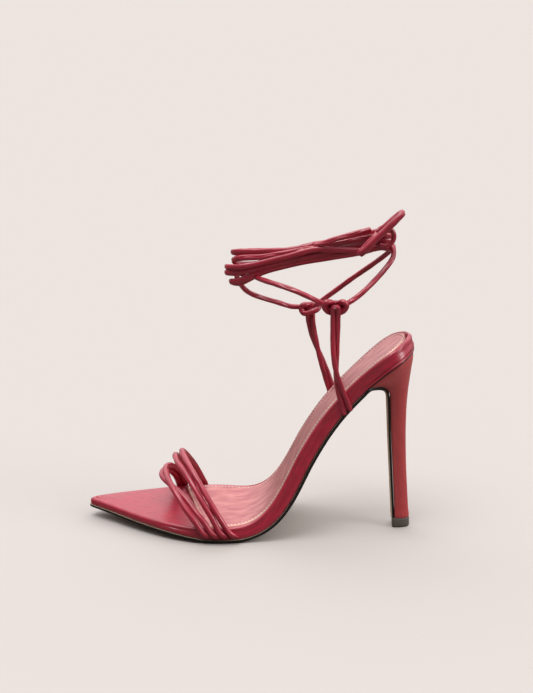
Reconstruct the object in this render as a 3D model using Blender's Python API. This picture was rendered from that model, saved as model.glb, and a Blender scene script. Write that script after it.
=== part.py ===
# Lace up stiletto sandal, left shoe, about EU 37.
# Frame: the origin lies on the floor under the ball of the foot, the toe points to -X, the heel
# to +X, the outer side of the foot to -Y and up is +Z. Tables and named sizes are in millimetres.

import math

import bmesh
import bpy
import numpy as np

MM = 0.001
GAP = 0.3

# Footbed rim along its middle (x, z), the two edges (outer, inner), and the height of its wall.
LAST_COLUMNS = ("x", "z", "outer", "inner", "wall")
LAST_ROWS = (
    (-97.4, 12.9, 6.3, 8.3, 4.0),
    (-95.0, 12.8, 4.6, 10.8, 4.0),
    (-90.0, 12.5, 1.0, 14.6, 4.0),
    (-80.0, 11.9, -6.0, 20.8, 4.0),
    (-70.0, 11.4, -13.2, 25.7, 4.1),
    (-60.0, 11.0, -19.9, 30.2, 4.3),
    (-50.0, 10.8, -25.8, 34.0, 4.8),
    (-40.0, 10.6, -30.6, 37.0, 5.5),
    (-30.0, 10.4, -34.0, 39.4, 6.3),
    (-22.0, 10.3, -35.6, 40.7, 7.2),
    (-15.0, 10.3, -35.8, 41.1, 8.0),
    (-7.0, 10.3, -35.4, 40.8, 8.0),
    (1.0, 10.3, -34.4, 39.4, 8.0),
    (8.0, 11.7, -32.8, 37.0, 8.2),
    (15.0, 15.3, -31.2, 34.5, 8.5),
    (20.0, 19.8, -30.0, 32.8, 8.8),
    (25.0, 26.4, -28.7, 31.0, 9.0),
    (30.0, 35.2, -27.3, 29.2, 9.1),
    (35.0, 45.6, -26.0, 27.5, 9.1),
    (40.0, 56.0, -24.8, 25.9, 9.1),
    (50.0, 73.2, -22.7, 23.2, 9.1),
    (60.0, 87.0, -21.2, 21.4, 9.0),
    (70.0, 98.4, -20.5, 20.5, 9.0),
    (80.0, 108.6, -20.9, 20.9, 9.0),
    (90.0, 117.7, -22.0, 22.0, 9.1),
    (96.0, 122.4, -21.6, 21.6, 9.3),
    (101.0, 125.8, -18.8, 18.8, 9.6),
    (105.0, 128.2, -14.2, 14.2, 9.8),
    (108.0, 129.6, -9.0, 9.0, 10.0),
    (110.0, 130.3, -1.2, 1.2, 10.0),
)
# The tread under the ball is flat from x to x.
BALL_FLAT = (-15.0, 1.0)
STATION_STEP = 6.6
STATION_LEAST = 1.3
TIP_HALF_ANGLE_SINE = 0.55
LEAST_HALF_WIDTH = 0.5
STEEPEST_EDGE = 1.5

# Wrapped footbed: the wall leans out, and the rim is rolled over an edge.
WALL_LEAN = 0.5
RIM_ROLL = 1.1
SOCK_RECESS = 1.5
SOCK_TOP = 0.1
SOCK_LIFT = 0.45
SOCK_THICK = 1.0
SOCK_RIM = 2.6
DISH = 0.7
DISH_FULL_WIDTH = 20.0
SOCK_FRONT = -27.0
SOCK_SLANT = -0.27
SOCK_SLANT_FADE = 45.0
RECESS_AHEAD = 12.0
RECESS_RAMP = 9.0
SOCK_BACK_GAP = 3.2

# Sections of the footbed from its underside up over the rim: how far in, what the height is
# counted from, the height, whether a rebate lifts it, and how far in the rebate takes it.
FOOTBED_COLUMNS = ("inset", "datum", "height", "lifted", "rebate_depth")
REBATE_DEPTH = 8.0
FOOTBED_ROWS = (
    (0.5, "base", 0.0, False, REBATE_DEPTH),
    (0.4, "base", 0.15, True, REBATE_DEPTH),
    (-WALL_LEAN, "base", 0.5, True, WALL_LEAN),
    (0.0, "rim", -RIM_ROLL, False, 0.0),
    (0.3, "rim", -0.3, False, 0.0),
    (RIM_ROLL, "rim", 0.0, False, 0.0),
    (SOCK_RIM - 0.4, "rim", -SOCK_TOP, False, 0.0),
    (SOCK_RIM, "recess", -SOCK_TOP, False, 0.0),
)
FOOTBED_TOP_PARTS = (0.2, 0.4, 0.6, 0.8)

# Rebates under the wall, where the ends of straps and loops are lasted in: from x to x.
REBATE_HEIGHT = 2.3
REBATE_RAMP = 3.0
REBATE_SPANS = (
    ("outer", -30.0, 5.5),
    ("inner", -55.0, -19.0),
    ("outer", 55.0, 71.0),
    ("inner", 46.0, 62.0),
)

SOLE_GAP = 0.4
SOLE_THICK = 1.9
SOLE_TIP_THICK = 1.6
SOLE_SEAT = 75.0
SOLE_PROUD = 0.6
SOLE_TOE_RUN = 50.0
FLAP_THICK = 1.2
FLAP_INSET = 0.7
FLAP_WIDTH_SHARE = 0.86
FLAP_BLEND_ROWS = 4
SOLE_BEVEL = 0.5

# Heel sections from the tread up: front edge (x, z), back (x, z) and half the width.
HEEL_COLUMNS = ("front_x", "front_z", "back_x", "back_z", "half_width")
HEEL_ROWS = (
    (103.0, 6.6, 112.0, 6.6, 4.6),
    (101.8, 25.0, 110.7, 25.0, 4.4),
    (100.5, 45.0, 109.4, 45.0, 4.7),
    (99.2, 66.0, 108.7, 66.0, 5.7),
    (98.4, 82.0, 108.8, 82.0, 7.2),
    (97.7, 91.0, 109.4, 92.5, 9.0),
    (95.6, 96.2, 110.3, 101.0, 11.8),
    (91.8, 98.6, 111.2, 108.5, 15.2),
    (87.6, 99.2, 112.0, 114.5, 18.4),
)
# A heel section in parts of its depth and half width: a flat front and a round back.
HEEL_SHAPE = (
    (0.0, 0.0), (0.0, 0.45), (0.0, 0.86), (0.07, 1.0), (0.28, 1.0), (0.5, 0.95), (0.7, 0.82),
    (0.86, 0.6), (0.96, 0.32), (1.0, 0.0),
)
# The heel's top lies under the seat from SOLE_SEAT plus this much, and this far in from the edges.
CROWN_AHEAD = 3.0
CROWN_BACK = 0.6
CROWN_INSET = 0.6
CROWN_FULLNESS = 1.2
CROWN_HALF_WIDTH = 19.4
LIFT_HEIGHT = 6.2
LIFT_PROUD = 0.5
LIFT_AHEAD = 1.5

STRAP_RADIUS = 1.95
LACE_RADIUS = 1.65
TUCK_HALF_THICK = 0.8
# How far along the shoe an end leans on its way up the wall, and its slant on the loops.
STRAP_LEAN_OUTER = -5.0
STRAP_LEAN_INNER = 1.0
LOOP_LEAN = 6.0
LOOP_FLAT_DIRECTION = (0.97, 0.0, 0.24)

# Toe straps: where the outer and inner ends are lasted in (x), and the free points between.
TOE_STRAPS = {
    "toe_strap_front_a": (-20.4, -40.5, (
        (-30.0, -35.8, 18.2), (-38.0, -26.8, 29.2), (-44.2, -14.0, 34.6), (-47.4, 0.0, 36.4),
        (-47.6, 13.0, 34.8), (-44.4, 25.0, 28.6), (-40.2, 35.5, 20.5))),
    "toe_strap_front_b": (-13.2, -46.0, (
        (-19.6, -36.8, 13.6), (-27.2, -31.8, 21.0), (-35.2, -24.2, 27.2), (-44.8, -11.5, 31.8),
        (-50.4, 0.0, 32.6), (-50.8, 13.0, 30.6), (-48.0, 25.0, 24.8), (-45.2, 34.5, 17.5))),
    "toe_strap_rear_a": (-7.4, -33.6, (
        (-13.8, -35.4, 18.4), (-27.6, -24.0, 35.2), (-37.8, -6.8, 43.0), (-41.2, 7.5, 43.2),
        (-40.4, 20.5, 37.0), (-36.0, 34.5, 22.8))),
    "toe_strap_rear_b": (-1.4, -26.6, (
        (-8.8, -35.2, 18.2), (-24.4, -22.2, 38.8), (-34.0, -4.8, 46.4), (-36.8, 8.0, 46.2),
        (-35.6, 21.0, 38.2), (-29.8, 35.0, 22.6))),
}

# Instep loops: the two lasted ends (x), the free points of each leg from the rim up, and the bar.
INSTEP_LOOPS = {
    "instep_loop_outer": {
        "side": "outer",
        "ends": (62.0, 65.8),
        "front_leg": ((66.0, -25.0, 98.6), (63.6, -25.2, 112.8), (64.2, -26.0, 129.5), (64.4, -26.0, 144.0)),
        "rear_leg": ((68.4, -26.6, 101.4), (62.9, -29.2, 112.8), (60.6, -27.0, 129.4), (60.3, -26.0, 144.0)),
        "bar": ((60.3, -26.2, 149.6), (61.0, -28.2, 152.8), (62.35, -28.7, 153.6), (63.7, -28.2, 152.8),
                (64.4, -26.2, 149.6)),
    },
    "instep_loop_inner": {
        "side": "inner",
        "ends": (52.4, 56.2),
        "front_leg": ((57.2, 26.0, 90.4), (53.4, 26.2, 104.2), (50.2, 26.4, 117.8), (48.2, 26.2, 131.0)),
        "rear_leg": ((60.0, 26.8, 92.4), (54.0, 30.0, 104.0), (47.4, 28.6, 118.0), (44.2, 26.2, 131.0)),
        "bar": ((43.9, 26.4, 135.4), (44.6, 28.4, 138.6), (45.85, 28.9, 139.4), (47.1, 28.4, 138.6),
                (47.8, 26.4, 135.4)),
    },
}

# Ankle lace: each side's run from the wraps at the front, round the loop's legs, to the back.
ANKLE_LACES = {
    "ankle_lace_outer": (
        (5.0, -6.0, 170.6), (14.0, -11.0, 167.6), (25.7, -17.5, 165.2), (37.0, -22.6, 162.6),
        (47.9, -25.0, 158.4), (53.2, -26.6, 156.0), (56.3, -28.2, 155.0), (56.0, -26.0, 151.6),
        (58.2, -22.4, 149.8), (62.35, -21.6, 149.8), (66.5, -22.4, 149.8), (68.7, -26.0, 151.6),
        (68.5, -28.2, 155.0), (71.8, -26.4, 157.0), (77.4, -22.8, 160.4), (84.4, -18.6, 166.6),
        (92.4, -13.6, 174.6), (97.4, -8.6, 181.2), (97.2, -3.0, 187.0)),
    "ankle_lace_inner": (
        (2.0, 5.6, 160.6), (8.0, 13.0, 151.8), (16.0, 17.6, 147.6), (25.0, 21.4, 144.0),
        (33.0, 24.2, 141.6), (36.8, 26.0, 141.2), (39.9, 27.8, 140.2), (39.6, 26.0, 137.0),
        (41.8, 22.6, 135.4), (45.85, 21.8, 135.4), (49.9, 22.6, 135.4), (52.1, 26.0, 137.2),
        (51.9, 27.8, 140.8), (54.8, 26.2, 145.0), (59.6, 24.0, 148.9), (66.6, 22.0, 155.2),
        (74.1, 19.8, 161.5), (81.6, 16.6, 167.7), (89.4, 12.0, 174.6), (96.4, 5.0, 182.6)),
}

# Wraps round the ankle, pulled flat: heights at these places, from front to back.
WRAP_PLACES = (1.7, 16.5, 31.4, 46.2, 60.9, 75.6, 88.6)
WRAP_HEIGHTS = {
    "wrap_a": (184.0, 184.8, 185.6, 188.4, 191.6, 194.8, 197.2),
    "wrap_b": (178.6, 179.8, 182.4, 186.2, 189.2, 192.0, 194.4),
    "wrap_c": (171.8, 175.2, 180.6, 186.6, 186.2, 185.4, 186.4),
    "wrap_d": (168.0, 172.4, 176.4, 180.6, 184.0, 187.4, 190.4),
    "wrap_e": (163.2, 169.0, 174.6, 178.0, 180.8, 183.0, 185.0),
}
WRAP_DEPTH = {"wrap_a": 4.6, "wrap_b": 5.8, "wrap_c": 6.4, "wrap_d": 5.2, "wrap_e": 4.4}
WRAP_FRONT = {"wrap_a": -2.6, "wrap_b": -2.2, "wrap_c": -6.4, "wrap_d": -6.2, "wrap_e": -3.8}
WRAP_BACK = {"wrap_a": 97.2, "wrap_b": 98.0, "wrap_c": 96.4, "wrap_d": 97.8, "wrap_e": 97.0}
WRAP_FAR_DROP = 3.0

# Knot at the back of the ankle, its bow loop and the lace's end.
BACK_KNOT = (
    (85.6, -9.7, 192.4), (87.6, -9.8, 197.6), (91.6, -9.9, 199.9), (95.8, -9.8, 198.4),
    (97.6, -9.7, 194.4), (96.4, -9.6, 190.4), (92.6, -9.5, 188.2), (88.4, -9.5, 188.6))
BOW_LOOP = (
    (90.0, -13.4, 199.0), (94.6, -13.4, 203.4), (99.2, -13.2, 207.4), (101.6, -14.8, 209.6),
    (101.4, -17.2, 209.2), (98.2, -18.8, 206.0), (92.0, -19.2, 199.9), (86.0, -19.2, 193.9),
    (80.0, -19.0, 187.6), (77.6, -17.4, 185.2), (77.4, -15.0, 185.0), (79.6, -13.4, 187.6),
    (83.4, -13.2, 191.8), (86.6, -13.3, 195.2))
TIE_END = ((52.0, -9.2, 189.6), (60.0, -9.3, 191.6), (68.0, -9.3, 194.0), (76.0, -9.2, 196.4),
           (82.4, -9.0, 198.0))
KNOT_RADIUS = 1.5

# Curves: longest step between points, and the bend that takes one point.
STRAP_STEP = 14.0
WRAP_STEP = 11.0
CORD_STEP = 5.0
FINE_STEPS = 12
STRAP_TURN = math.radians(28)
LACE_TURN = math.radians(34)
WRAP_TURN = math.radians(50)

# Colours as linear red, green and blue.
RASPBERRY_SATIN = (0.34, 0.035, 0.065)
CORAL_SATIN = (0.45, 0.06, 0.07)
ROSE_SOCK = (0.62, 0.27, 0.27)
BLACK_EDGE = (0.012, 0.011, 0.011)
GREY_RUBBER = (0.05, 0.05, 0.052)


def clear_scene():
    for obj in list(bpy.data.objects):
        bpy.data.objects.remove(obj, do_unlink=True)


def make_material(name, colour, roughness):
    material = bpy.data.materials.new(name)
    material.use_nodes = True
    shader = material.node_tree.nodes["Principled BSDF"]
    shader.inputs["Base Color"].default_value = (*colour, 1.0)
    shader.inputs["Roughness"].default_value = roughness
    shader.inputs["Metallic"].default_value = 0.0
    return material


def add_object(name, vertices, faces, material):
    mesh = bpy.data.meshes.new(name)
    mesh.from_pydata([tuple(np.array(v, float) * MM) for v in vertices], [], faces)
    mesh.validate()
    work = bmesh.new()
    work.from_mesh(mesh)
    bmesh.ops.recalc_face_normals(work, faces=work.faces)
    work.to_mesh(mesh)
    work.free()
    mesh.materials.append(material)
    mesh.shade_smooth()
    mesh.set_sharp_from_angle(angle=math.radians(40))
    obj = bpy.data.objects.new(name, mesh)
    bpy.context.scene.collection.objects.link(obj)
    return obj


def slopes_of(places, values):
    """Slopes at the rows that keep a curve through them from overshooting."""
    steps = np.diff(places)
    rates = np.diff(values) / steps
    slopes = np.zeros(len(values))
    slopes[0], slopes[-1] = rates[0], rates[-1]
    for i in range(1, len(values) - 1):
        if rates[i - 1] * rates[i] > 0:
            before, after = steps[i - 1], steps[i]
            weight_a, weight_b = 2 * after + before, after + 2 * before
            slopes[i] = (weight_a + weight_b) / (weight_a / rates[i - 1] + weight_b / rates[i])
    return slopes


class Curve:
    """A smooth function through the rows of one column."""

    def __init__(self, places, values):
        self.places, self.values = np.array(places, float), np.array(values, float)
        self.slopes = slopes_of(self.places, self.values)

    def parts(self, at):
        at = np.clip(np.asarray(at, float), self.places[0], self.places[-1])
        i = np.clip(np.searchsorted(self.places, at, side="right") - 1, 0, len(self.places) - 2)
        width = self.places[i + 1] - self.places[i]
        return i, width, (at - self.places[i]) / width

    def __call__(self, at):
        i, width, t = self.parts(at)
        return (
            (2 * t**3 - 3 * t**2 + 1) * self.values[i]
            + (t**3 - 2 * t**2 + t) * width * self.slopes[i]
            + (3 * t**2 - 2 * t**3) * self.values[i + 1]
            + (t**3 - t**2) * width * self.slopes[i + 1]
        )

    def rate(self, at):
        i, width, t = self.parts(at)
        return (
            (6 * t**2 - 6 * t) * (self.values[i] - self.values[i + 1]) / width
            + (3 * t**2 - 4 * t + 1) * self.slopes[i]
            + (3 * t**2 - 2 * t) * self.slopes[i + 1]
        )


class Last:
    """The last's surface: s runs along the rim from toe to heel, n is the height above the rim."""

    def __init__(self):
        table = {name: np.array([row[i] for row in LAST_ROWS]) for i, name in enumerate(LAST_COLUMNS)}
        chords = np.hypot(np.diff(table["x"]), np.diff(table["z"]))
        self.rows = np.concatenate([[0], np.cumsum(chords)])
        self.length = self.rows[-1]
        self.x, self.z, self.outer, self.inner, self.wall = (
            Curve(self.rows, table[name]) for name in LAST_COLUMNS
        )
        self.row_x = table["x"]

    def s_at(self, x):
        return np.interp(x, self.row_x, self.rows)

    def place(self, s, y, n):
        along_x, along_z = self.x.rate(s), self.z.rate(s)
        size = np.hypot(along_x, along_z)
        return np.array([self.x(s) - n * along_z / size, y, self.z(s) + n * along_x / size])

    def edge(self, side, s):
        return (self.outer if side == "outer" else self.inner)(s)

    def stations(self, start, end):
        """Places along the rim for the sections: even, with the table's own rows at toe and heel."""
        even = np.arange(0, self.length, STATION_STEP)
        flat = self.s_at(np.array(BALL_FLAT))
        places = np.sort(np.concatenate([even, flat, self.rows[1:3], self.rows[-6:-1]]))
        places = places[np.diff(places, prepend=-STATION_STEP) > STATION_LEAST]
        inside = places[(places > start + STATION_LEAST) & (places < end - STATION_LEAST)]
        return np.concatenate([[start], inside, [end]])

    def outline(self, inset, stations):
        """The outline moved in by inset: new stations, outer edge and inner edge."""
        toe = max(inset, 0) / TIP_HALF_ANGLE_SINE
        s = toe + stations * (self.length - toe - max(inset, 0)) / self.length
        middle = (self.outer(s) + self.inner(s)) / 2
        outer = self.outer(s) + inset * np.hypot(1, np.clip(self.outer.rate(s), -STEEPEST_EDGE, STEEPEST_EDGE))
        inner = self.inner(s) - inset * np.hypot(1, np.clip(self.inner.rate(s), -STEEPEST_EDGE, STEEPEST_EDGE))
        return s, np.minimum(outer, middle - LEAST_HALF_WIDTH), np.maximum(inner, middle + LEAST_HALF_WIDTH)


LAST = Last()


def smoothstep(value):
    t = np.clip(value, 0, 1)
    return t * t * (3 - 2 * t)


def sock_front(y):
    """Where along x the sock begins, slanted as the toe straps are."""
    return SOCK_FRONT + SOCK_SLANT * y


def recess_at(s, y):
    start = LAST.s_at(sock_front(y))
    return SOCK_RECESS * smoothstep((s - start + RECESS_AHEAD) / RECESS_RAMP)


def dish_at(part, width):
    """How far the top sinks at this part of its width, so that the foot is cupped a little."""
    return DISH * (1 - (2 * part - 1) ** 2) * min(1, width / DISH_FULL_WIDTH)


def rebate_at(side, s):
    """1 where an end is lasted in under this side's wall, 0 elsewhere."""
    amount = 0.0
    for span_side, start, end in REBATE_SPANS:
        if span_side == side:
            rise = smoothstep((s - LAST.s_at(start)) / REBATE_RAMP)
            fall = smoothstep((LAST.s_at(end) - s) / REBATE_RAMP)
            amount = max(amount, float(rise * fall))
    return amount


def rings_to_faces(rings, count):
    return [
        (r * count + k, r * count + (k + 1) % count, (r + 1) * count + (k + 1) % count, (r + 1) * count + k)
        for r in range(rings - 1)
        for k in range(count)
    ]


def footbed_point(row, side, s, edge):
    """One point of a footbed section on this side, moved for the rebate and the sock's recess."""
    _, datum, height, lifted, rebate_depth = row
    amount = rebate_at(side, s)
    y = edge + rebate_depth * amount * (1 if side == "outer" else -1)
    if datum == "base":
        height += REBATE_HEIGHT * amount * lifted - LAST.wall(s)
    if datum == "recess":
        height -= recess_at(s, y)
    return LAST.place(s, y, height)


def make_footbed(material):
    stations = LAST.stations(0.0, LAST.length)
    count = len(stations)
    vertices = []
    for row in FOOTBED_ROWS:
        s, outer, inner = LAST.outline(row[0], stations)
        vertices += [footbed_point(row, "outer", s[j], outer[j]) for j in range(count)]
        vertices += [footbed_point(row, "inner", s[j], inner[j]) for j in reversed(range(count))]
    ring = 2 * count
    rings = len(FOOTBED_ROWS)
    faces = rings_to_faces(rings, ring)
    faces += [(j, j + 1, ring - 2 - j, ring - 1 - j) for j in range(count - 1)]

    top = (rings - 1) * ring
    first_column = len(vertices)
    s, outer, inner = LAST.outline(SOCK_RIM, stations)
    for j in range(1, count - 1):
        for part in FOOTBED_TOP_PARTS:
            y = outer[j] + (inner[j] - outer[j]) * part
            dish = dish_at(part, inner[j] - outer[j])
            vertices.append(LAST.place(s[j], y, -SOCK_TOP - recess_at(s[j], y) - dish))

    def across(j):
        wide = len(FOOTBED_TOP_PARTS)
        inside = [first_column + (j - 1) * wide + c for c in range(wide)]
        return [top + j, *inside, top + ring - 1 - j]

    for j in range(1, count - 2):
        here, after = across(j), across(j + 1)
        faces += [(here[c], here[c + 1], after[c + 1], after[c]) for c in range(len(here) - 1)]
    for end, near in ((0, 1), (count - 1, count - 2)):
        faces.append((top + end, *across(near), top + ring - 1 - end))
    return add_object("footbed", vertices, faces, material)


def make_sock(material):
    """Thin lining on the footbed, from a slanted front edge behind the toe to the heel."""
    start, end = LAST.s_at(SOCK_FRONT), LAST.length - SOCK_RIM - SOCK_BACK_GAP
    stations = LAST.stations(start, end)
    columns = np.linspace(0, 1, 7)
    inset = SOCK_RIM + GAP
    layers = []
    for lift in (SOCK_LIFT, SOCK_LIFT + SOCK_THICK):
        rows = []
        for s in stations:
            fade = 1 - smoothstep((s - start) / SOCK_SLANT_FADE)
            _, outer, inner = LAST.outline(inset, np.array([s]))
            row = []
            for part in columns:
                slant_y = outer[0] + (inner[0] - outer[0]) * part
                shifted = s + (LAST.s_at(sock_front(slant_y)) - start) * fade
                low = LAST.outer(shifted) + inset * math.hypot(1, LAST.outer.rate(shifted))
                high = LAST.inner(shifted) - inset * math.hypot(1, LAST.inner.rate(shifted))
                y = low + (high - low) * part
                row.append(LAST.place(shifted, y, lift - SOCK_TOP - SOCK_RECESS - dish_at(part, high - low)))
            rows.append(row)
        layers.append(rows)
    width, length = len(columns), len(stations)
    vertices = [point for rows in layers for row in rows for point in row]

    def at(layer, j, c):
        return (layer * length + j) * width + c

    faces = []
    for j in range(length - 1):
        for c in range(width - 1):
            for layer in (0, 1):
                faces.append((at(layer, j, c), at(layer, j + 1, c), at(layer, j + 1, c + 1), at(layer, j, c + 1)))
        for c in (0, width - 1):
            faces.append((at(0, j, c), at(0, j + 1, c), at(1, j + 1, c), at(1, j, c)))
    for j in (0, length - 1):
        for c in range(width - 1):
            faces.append((at(0, j, c), at(0, j, c + 1), at(1, j, c + 1), at(1, j, c)))
    return add_object("insole_sock", vertices, faces, material)


def heel_table():
    return {name: np.array([row[i] for row in HEEL_ROWS]) for i, name in enumerate(HEEL_COLUMNS)}


def heel_outline():
    """The section's points all round: the front's middle, the outer side, the back, the inner side."""
    outer = [(p, -q) for p, q in HEEL_SHAPE]
    inner = [(p, q) for p, q in HEEL_SHAPE[-2:0:-1]]
    return outer + inner


def make_heel(material):
    table = heel_table()
    shape = heel_outline()
    vertices = []
    for i in range(len(HEEL_ROWS)):
        for p, q in shape:
            vertices.append((
                table["front_x"][i] + p * (table["back_x"][i] - table["front_x"][i]),
                q * table["half_width"][i],
                table["front_z"][i] + p * (table["back_z"][i] - table["front_z"][i]),
            ))
    start, end = LAST.s_at(SOLE_SEAT) + CROWN_AHEAD, LAST.length - CROWN_BACK
    for p, q in shape:
        s = start + p * (end - start)
        edge = LAST.edge("outer" if q < 0 else "inner", s) - math.copysign(CROWN_INSET, q)
        fullness = 1 if p == 0 else CROWN_FULLNESS
        vertices.append(LAST.place(s, edge * min(1, abs(q) * fullness), -LAST.wall(s) - GAP))
    count, rings = len(shape), len(HEEL_ROWS) + 1
    faces = rings_to_faces(rings, count)
    faces.append(tuple(range(count)))
    middle = [(rings - 1) * count + k for k in range(count)]
    half = count // 2
    faces.append((middle[0], middle[1], middle[count - 1]))
    for k in range(1, half - 1):
        faces.append((middle[k], middle[k + 1], middle[count - k - 1], middle[count - k]))
    faces.append((middle[half - 1], middle[half], middle[half + 1]))
    return add_object("heel", vertices, faces, material)


def make_heel_tip(material):
    table = heel_table()
    front, back, half = table["front_x"][0], table["back_x"][0], table["half_width"][0]
    vertices = []
    for z, proud in ((0.0, 0.1), (0.5, LIFT_PROUD), (LIFT_HEIGHT, LIFT_PROUD - 0.2)):
        for p, q in heel_outline():
            start, end = front - LIFT_AHEAD - proud / 2, back + proud
            vertices.append((start + p * (end - start), q * (half + proud), z))
    count = len(heel_outline())
    faces = rings_to_faces(3, count)
    faces += [tuple(range(count)), tuple(range(2 * count, 3 * count))]
    return add_object("heel_tip", vertices, faces, material)


def sole_path():
    """Inner face of the outsole from toe to tread: position, outward normal, edges and thickness."""
    path = []
    seat = LAST.s_at(SOLE_SEAT)
    for s in LAST.stations(0.0, seat):
        top = LAST.place(s, 0.0, -LAST.wall(s) - SOLE_GAP)
        below = LAST.place(s, 0.0, -LAST.wall(s) - SOLE_GAP - 1.0) - top
        thick = SOLE_TIP_THICK + (SOLE_THICK - SOLE_TIP_THICK) * smoothstep(s / SOLE_TOE_RUN)
        path.append((top, below, LAST.outer(s) - SOLE_PROUD, LAST.inner(s) + SOLE_PROUD, thick))
    table = heel_table()
    fronts = np.stack([table["front_x"], table["front_z"]], 1)[::-1]
    start = seat + CROWN_AHEAD
    crown = LAST.place(start, 0.0, -LAST.wall(start) - GAP)
    fronts = np.vstack([[crown[0], crown[2]], fronts])
    widths = np.concatenate([[CROWN_HALF_WIDTH], table["half_width"][::-1] * FLAP_WIDTH_SHARE])
    for i in range(1, len(fronts)):
        before = fronts[i] - fronts[i - 1]
        after = fronts[min(i + 1, len(fronts) - 1)] - fronts[i]
        along = before / np.hypot(*before) + (after / np.hypot(*after) if np.any(after) else 0)
        along /= np.hypot(*along)
        out = np.array([along[1], 0.0, -along[0]])
        point = np.array([fronts[i][0], 0.0, fronts[i][1]]) + out * GAP
        share = min(1, i / FLAP_BLEND_ROWS)
        thick = SOLE_THICK + (FLAP_THICK - SOLE_THICK) * share
        half = widths[i] - FLAP_INSET * share + SOLE_PROUD * (1 - share)
        path.append((point, out, -half, half, thick))
    return path


def make_outsole(material):
    vertices = []
    path = sole_path()
    for top, below, outer, inner, thick in path:
        bevel = min(SOLE_BEVEL, (inner - outer) / 4)
        for y, depth in (
            (outer, 0.0), (outer, thick - bevel), (outer + bevel, thick),
            (inner - bevel, thick), (inner, thick - bevel), (inner, 0.0),
        ):
            vertices.append((top[0] + below[0] * depth, y, top[2] + below[2] * depth))
    faces = rings_to_faces(len(path), 6)
    faces += [tuple(range(6)), tuple(range((len(path) - 1) * 6, len(path) * 6))]
    return add_object("outsole", vertices, faces, material)


def through(points, spacing, turn, closed=False):
    """A smooth curve through the given points, with more points where it bends."""
    points = np.array(points, float)
    if closed:
        points = np.vstack([points[-1], points, points[:2]])
    else:
        points = np.vstack([2 * points[0] - points[1], points, 2 * points[-1] - points[-2]])
    fine = []
    for a, b, c, d in zip(points, points[1:], points[2:], points[3:]):
        for t in np.arange(0, 1, 1 / FINE_STEPS):
            fine.append(
                0.5 * (2 * b + (c - a) * t + (2 * a - 5 * b + 4 * c - d) * t**2 + (3 * b - a - 3 * c + d) * t**3)
            )
    fine.append(points[-2])
    fine = np.array(fine)
    steps = np.diff(fine[:, :3], axis=0)
    lengths = np.linalg.norm(steps, axis=1)
    ways = steps / lengths[:, None]
    turns = np.arccos(np.clip(np.sum(ways[1:] * ways[:-1], axis=1), -1, 1))
    cost = lengths / spacing + np.concatenate([[0], turns]) / turn
    passed = np.concatenate([[0], np.cumsum(cost)])
    at = np.linspace(0, passed[-1], max(4, math.ceil(passed[-1])) + 1)
    even = np.stack([np.interp(at, passed, fine[:, k]) for k in range(points.shape[1])], 1)
    return even[:-1] if closed else even


def sweep(name, points, half_width, half_thick, material, across=None, closed=False, sides=8):
    """A rod of oval section. across holds each point's flat direction."""
    points = np.array(points, float)[:, :3]
    count = len(points)
    half_width = np.broadcast_to(half_width, count)
    half_thick = np.broadcast_to(half_thick, count)
    following = np.roll(points, -1, axis=0) if closed else np.vstack([points[1:], points[-1]])
    previous = np.roll(points, 1, axis=0) if closed else np.vstack([points[0], points[:-1]])
    tangents = following - previous
    tangents /= np.linalg.norm(tangents, axis=1)[:, None]
    vertices = []
    side = np.array((0.0, 0.0, 1.0))
    for i, point in enumerate(points):
        if across is not None:
            side = across[i]
        side = side - tangents[i] * (side @ tangents[i])
        side /= np.linalg.norm(side)
        out = np.cross(tangents[i], side)
        for k in range(sides):
            angle = 2 * math.pi * (k + 0.5) / sides
            vertices.append(
                point + side * half_width[i] * math.cos(angle) + out * half_thick[i] * math.sin(angle)
            )
    rings = count + 1 if closed else count
    faces = rings_to_faces(rings, sides)
    if closed:
        faces = [tuple(v % (count * sides) for v in face) for face in faces]
    else:
        faces += [tuple(range(sides)), tuple(range((count - 1) * sides, count * sides))]
    return add_object(name, vertices, faces, material)


def join_solids(name, solids, solver="EXACT"):
    """One body from touching solids: the first takes the others in."""
    whole = solids[0]
    for other in solids[1:]:
        modifier = whole.modifiers.new("join_" + other.name, "BOOLEAN")
        modifier.operation = "UNION"
        modifier.solver = solver
        modifier.object = other
        other.hide_render = True
        other.display_type = "WIRE"
    whole.name = name
    return whole


def lasted_end(side, x, radius, lean):
    """Rows of x, y, z, half thickness and flat direction, from under the wall up to its rim."""
    s = LAST.s_at(x)
    sign = -1.0 if side == "outer" else 1.0
    low = -LAST.wall(s) + 0.35 + TUCK_HALF_THICK
    # Out past the wall, height, part of the lean and half thickness.
    rows = (
        (-6.0, low, 0.0, TUCK_HALF_THICK),
        (-2.2, low, 0.0, TUCK_HALF_THICK),
        (1.3, low + 0.5, 0.05, TUCK_HALF_THICK + 0.1),
        (GAP + 2.0, low + 2.4, 0.3, 1.3),
        (GAP + 0.25 + radius, -1.6, 0.8, radius),
    )
    points = []
    for out, height, part, thick in rows:
        at = s + lean * part
        y = LAST.edge(side, at) + sign * (out + WALL_LEAN * (1 - part) * 0.6)
        along = LAST.place(at + 1.0, 0.0, height) - LAST.place(at - 1.0, 0.0, height)
        points.append((*LAST.place(at, y, height), thick, *(along / np.linalg.norm(along))))
    return points


def make_strap(name, outer_x, inner_x, free, material):
    start = lasted_end("outer", outer_x, STRAP_RADIUS, STRAP_LEAN_OUTER)
    finish = lasted_end("inner", inner_x, STRAP_RADIUS, STRAP_LEAN_INNER)[::-1]
    first, last, crown = np.array(start[0][:3]), np.array(finish[-1][:3]), np.array(free[len(free) // 2])
    across = np.cross(last - first, first - crown)
    across = across * np.sign(across[0]) / np.linalg.norm(across)
    rows = start + [(*point, STRAP_RADIUS, *across) for point in free] + finish
    path = through(rows, STRAP_STEP, STRAP_TURN)
    thick = np.clip(path[:, 3], TUCK_HALF_THICK, STRAP_RADIUS)
    width = STRAP_RADIUS + (STRAP_RADIUS - thick) * 0.12
    return sweep(name, path, width, thick, material, path[:, 4:7])


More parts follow.
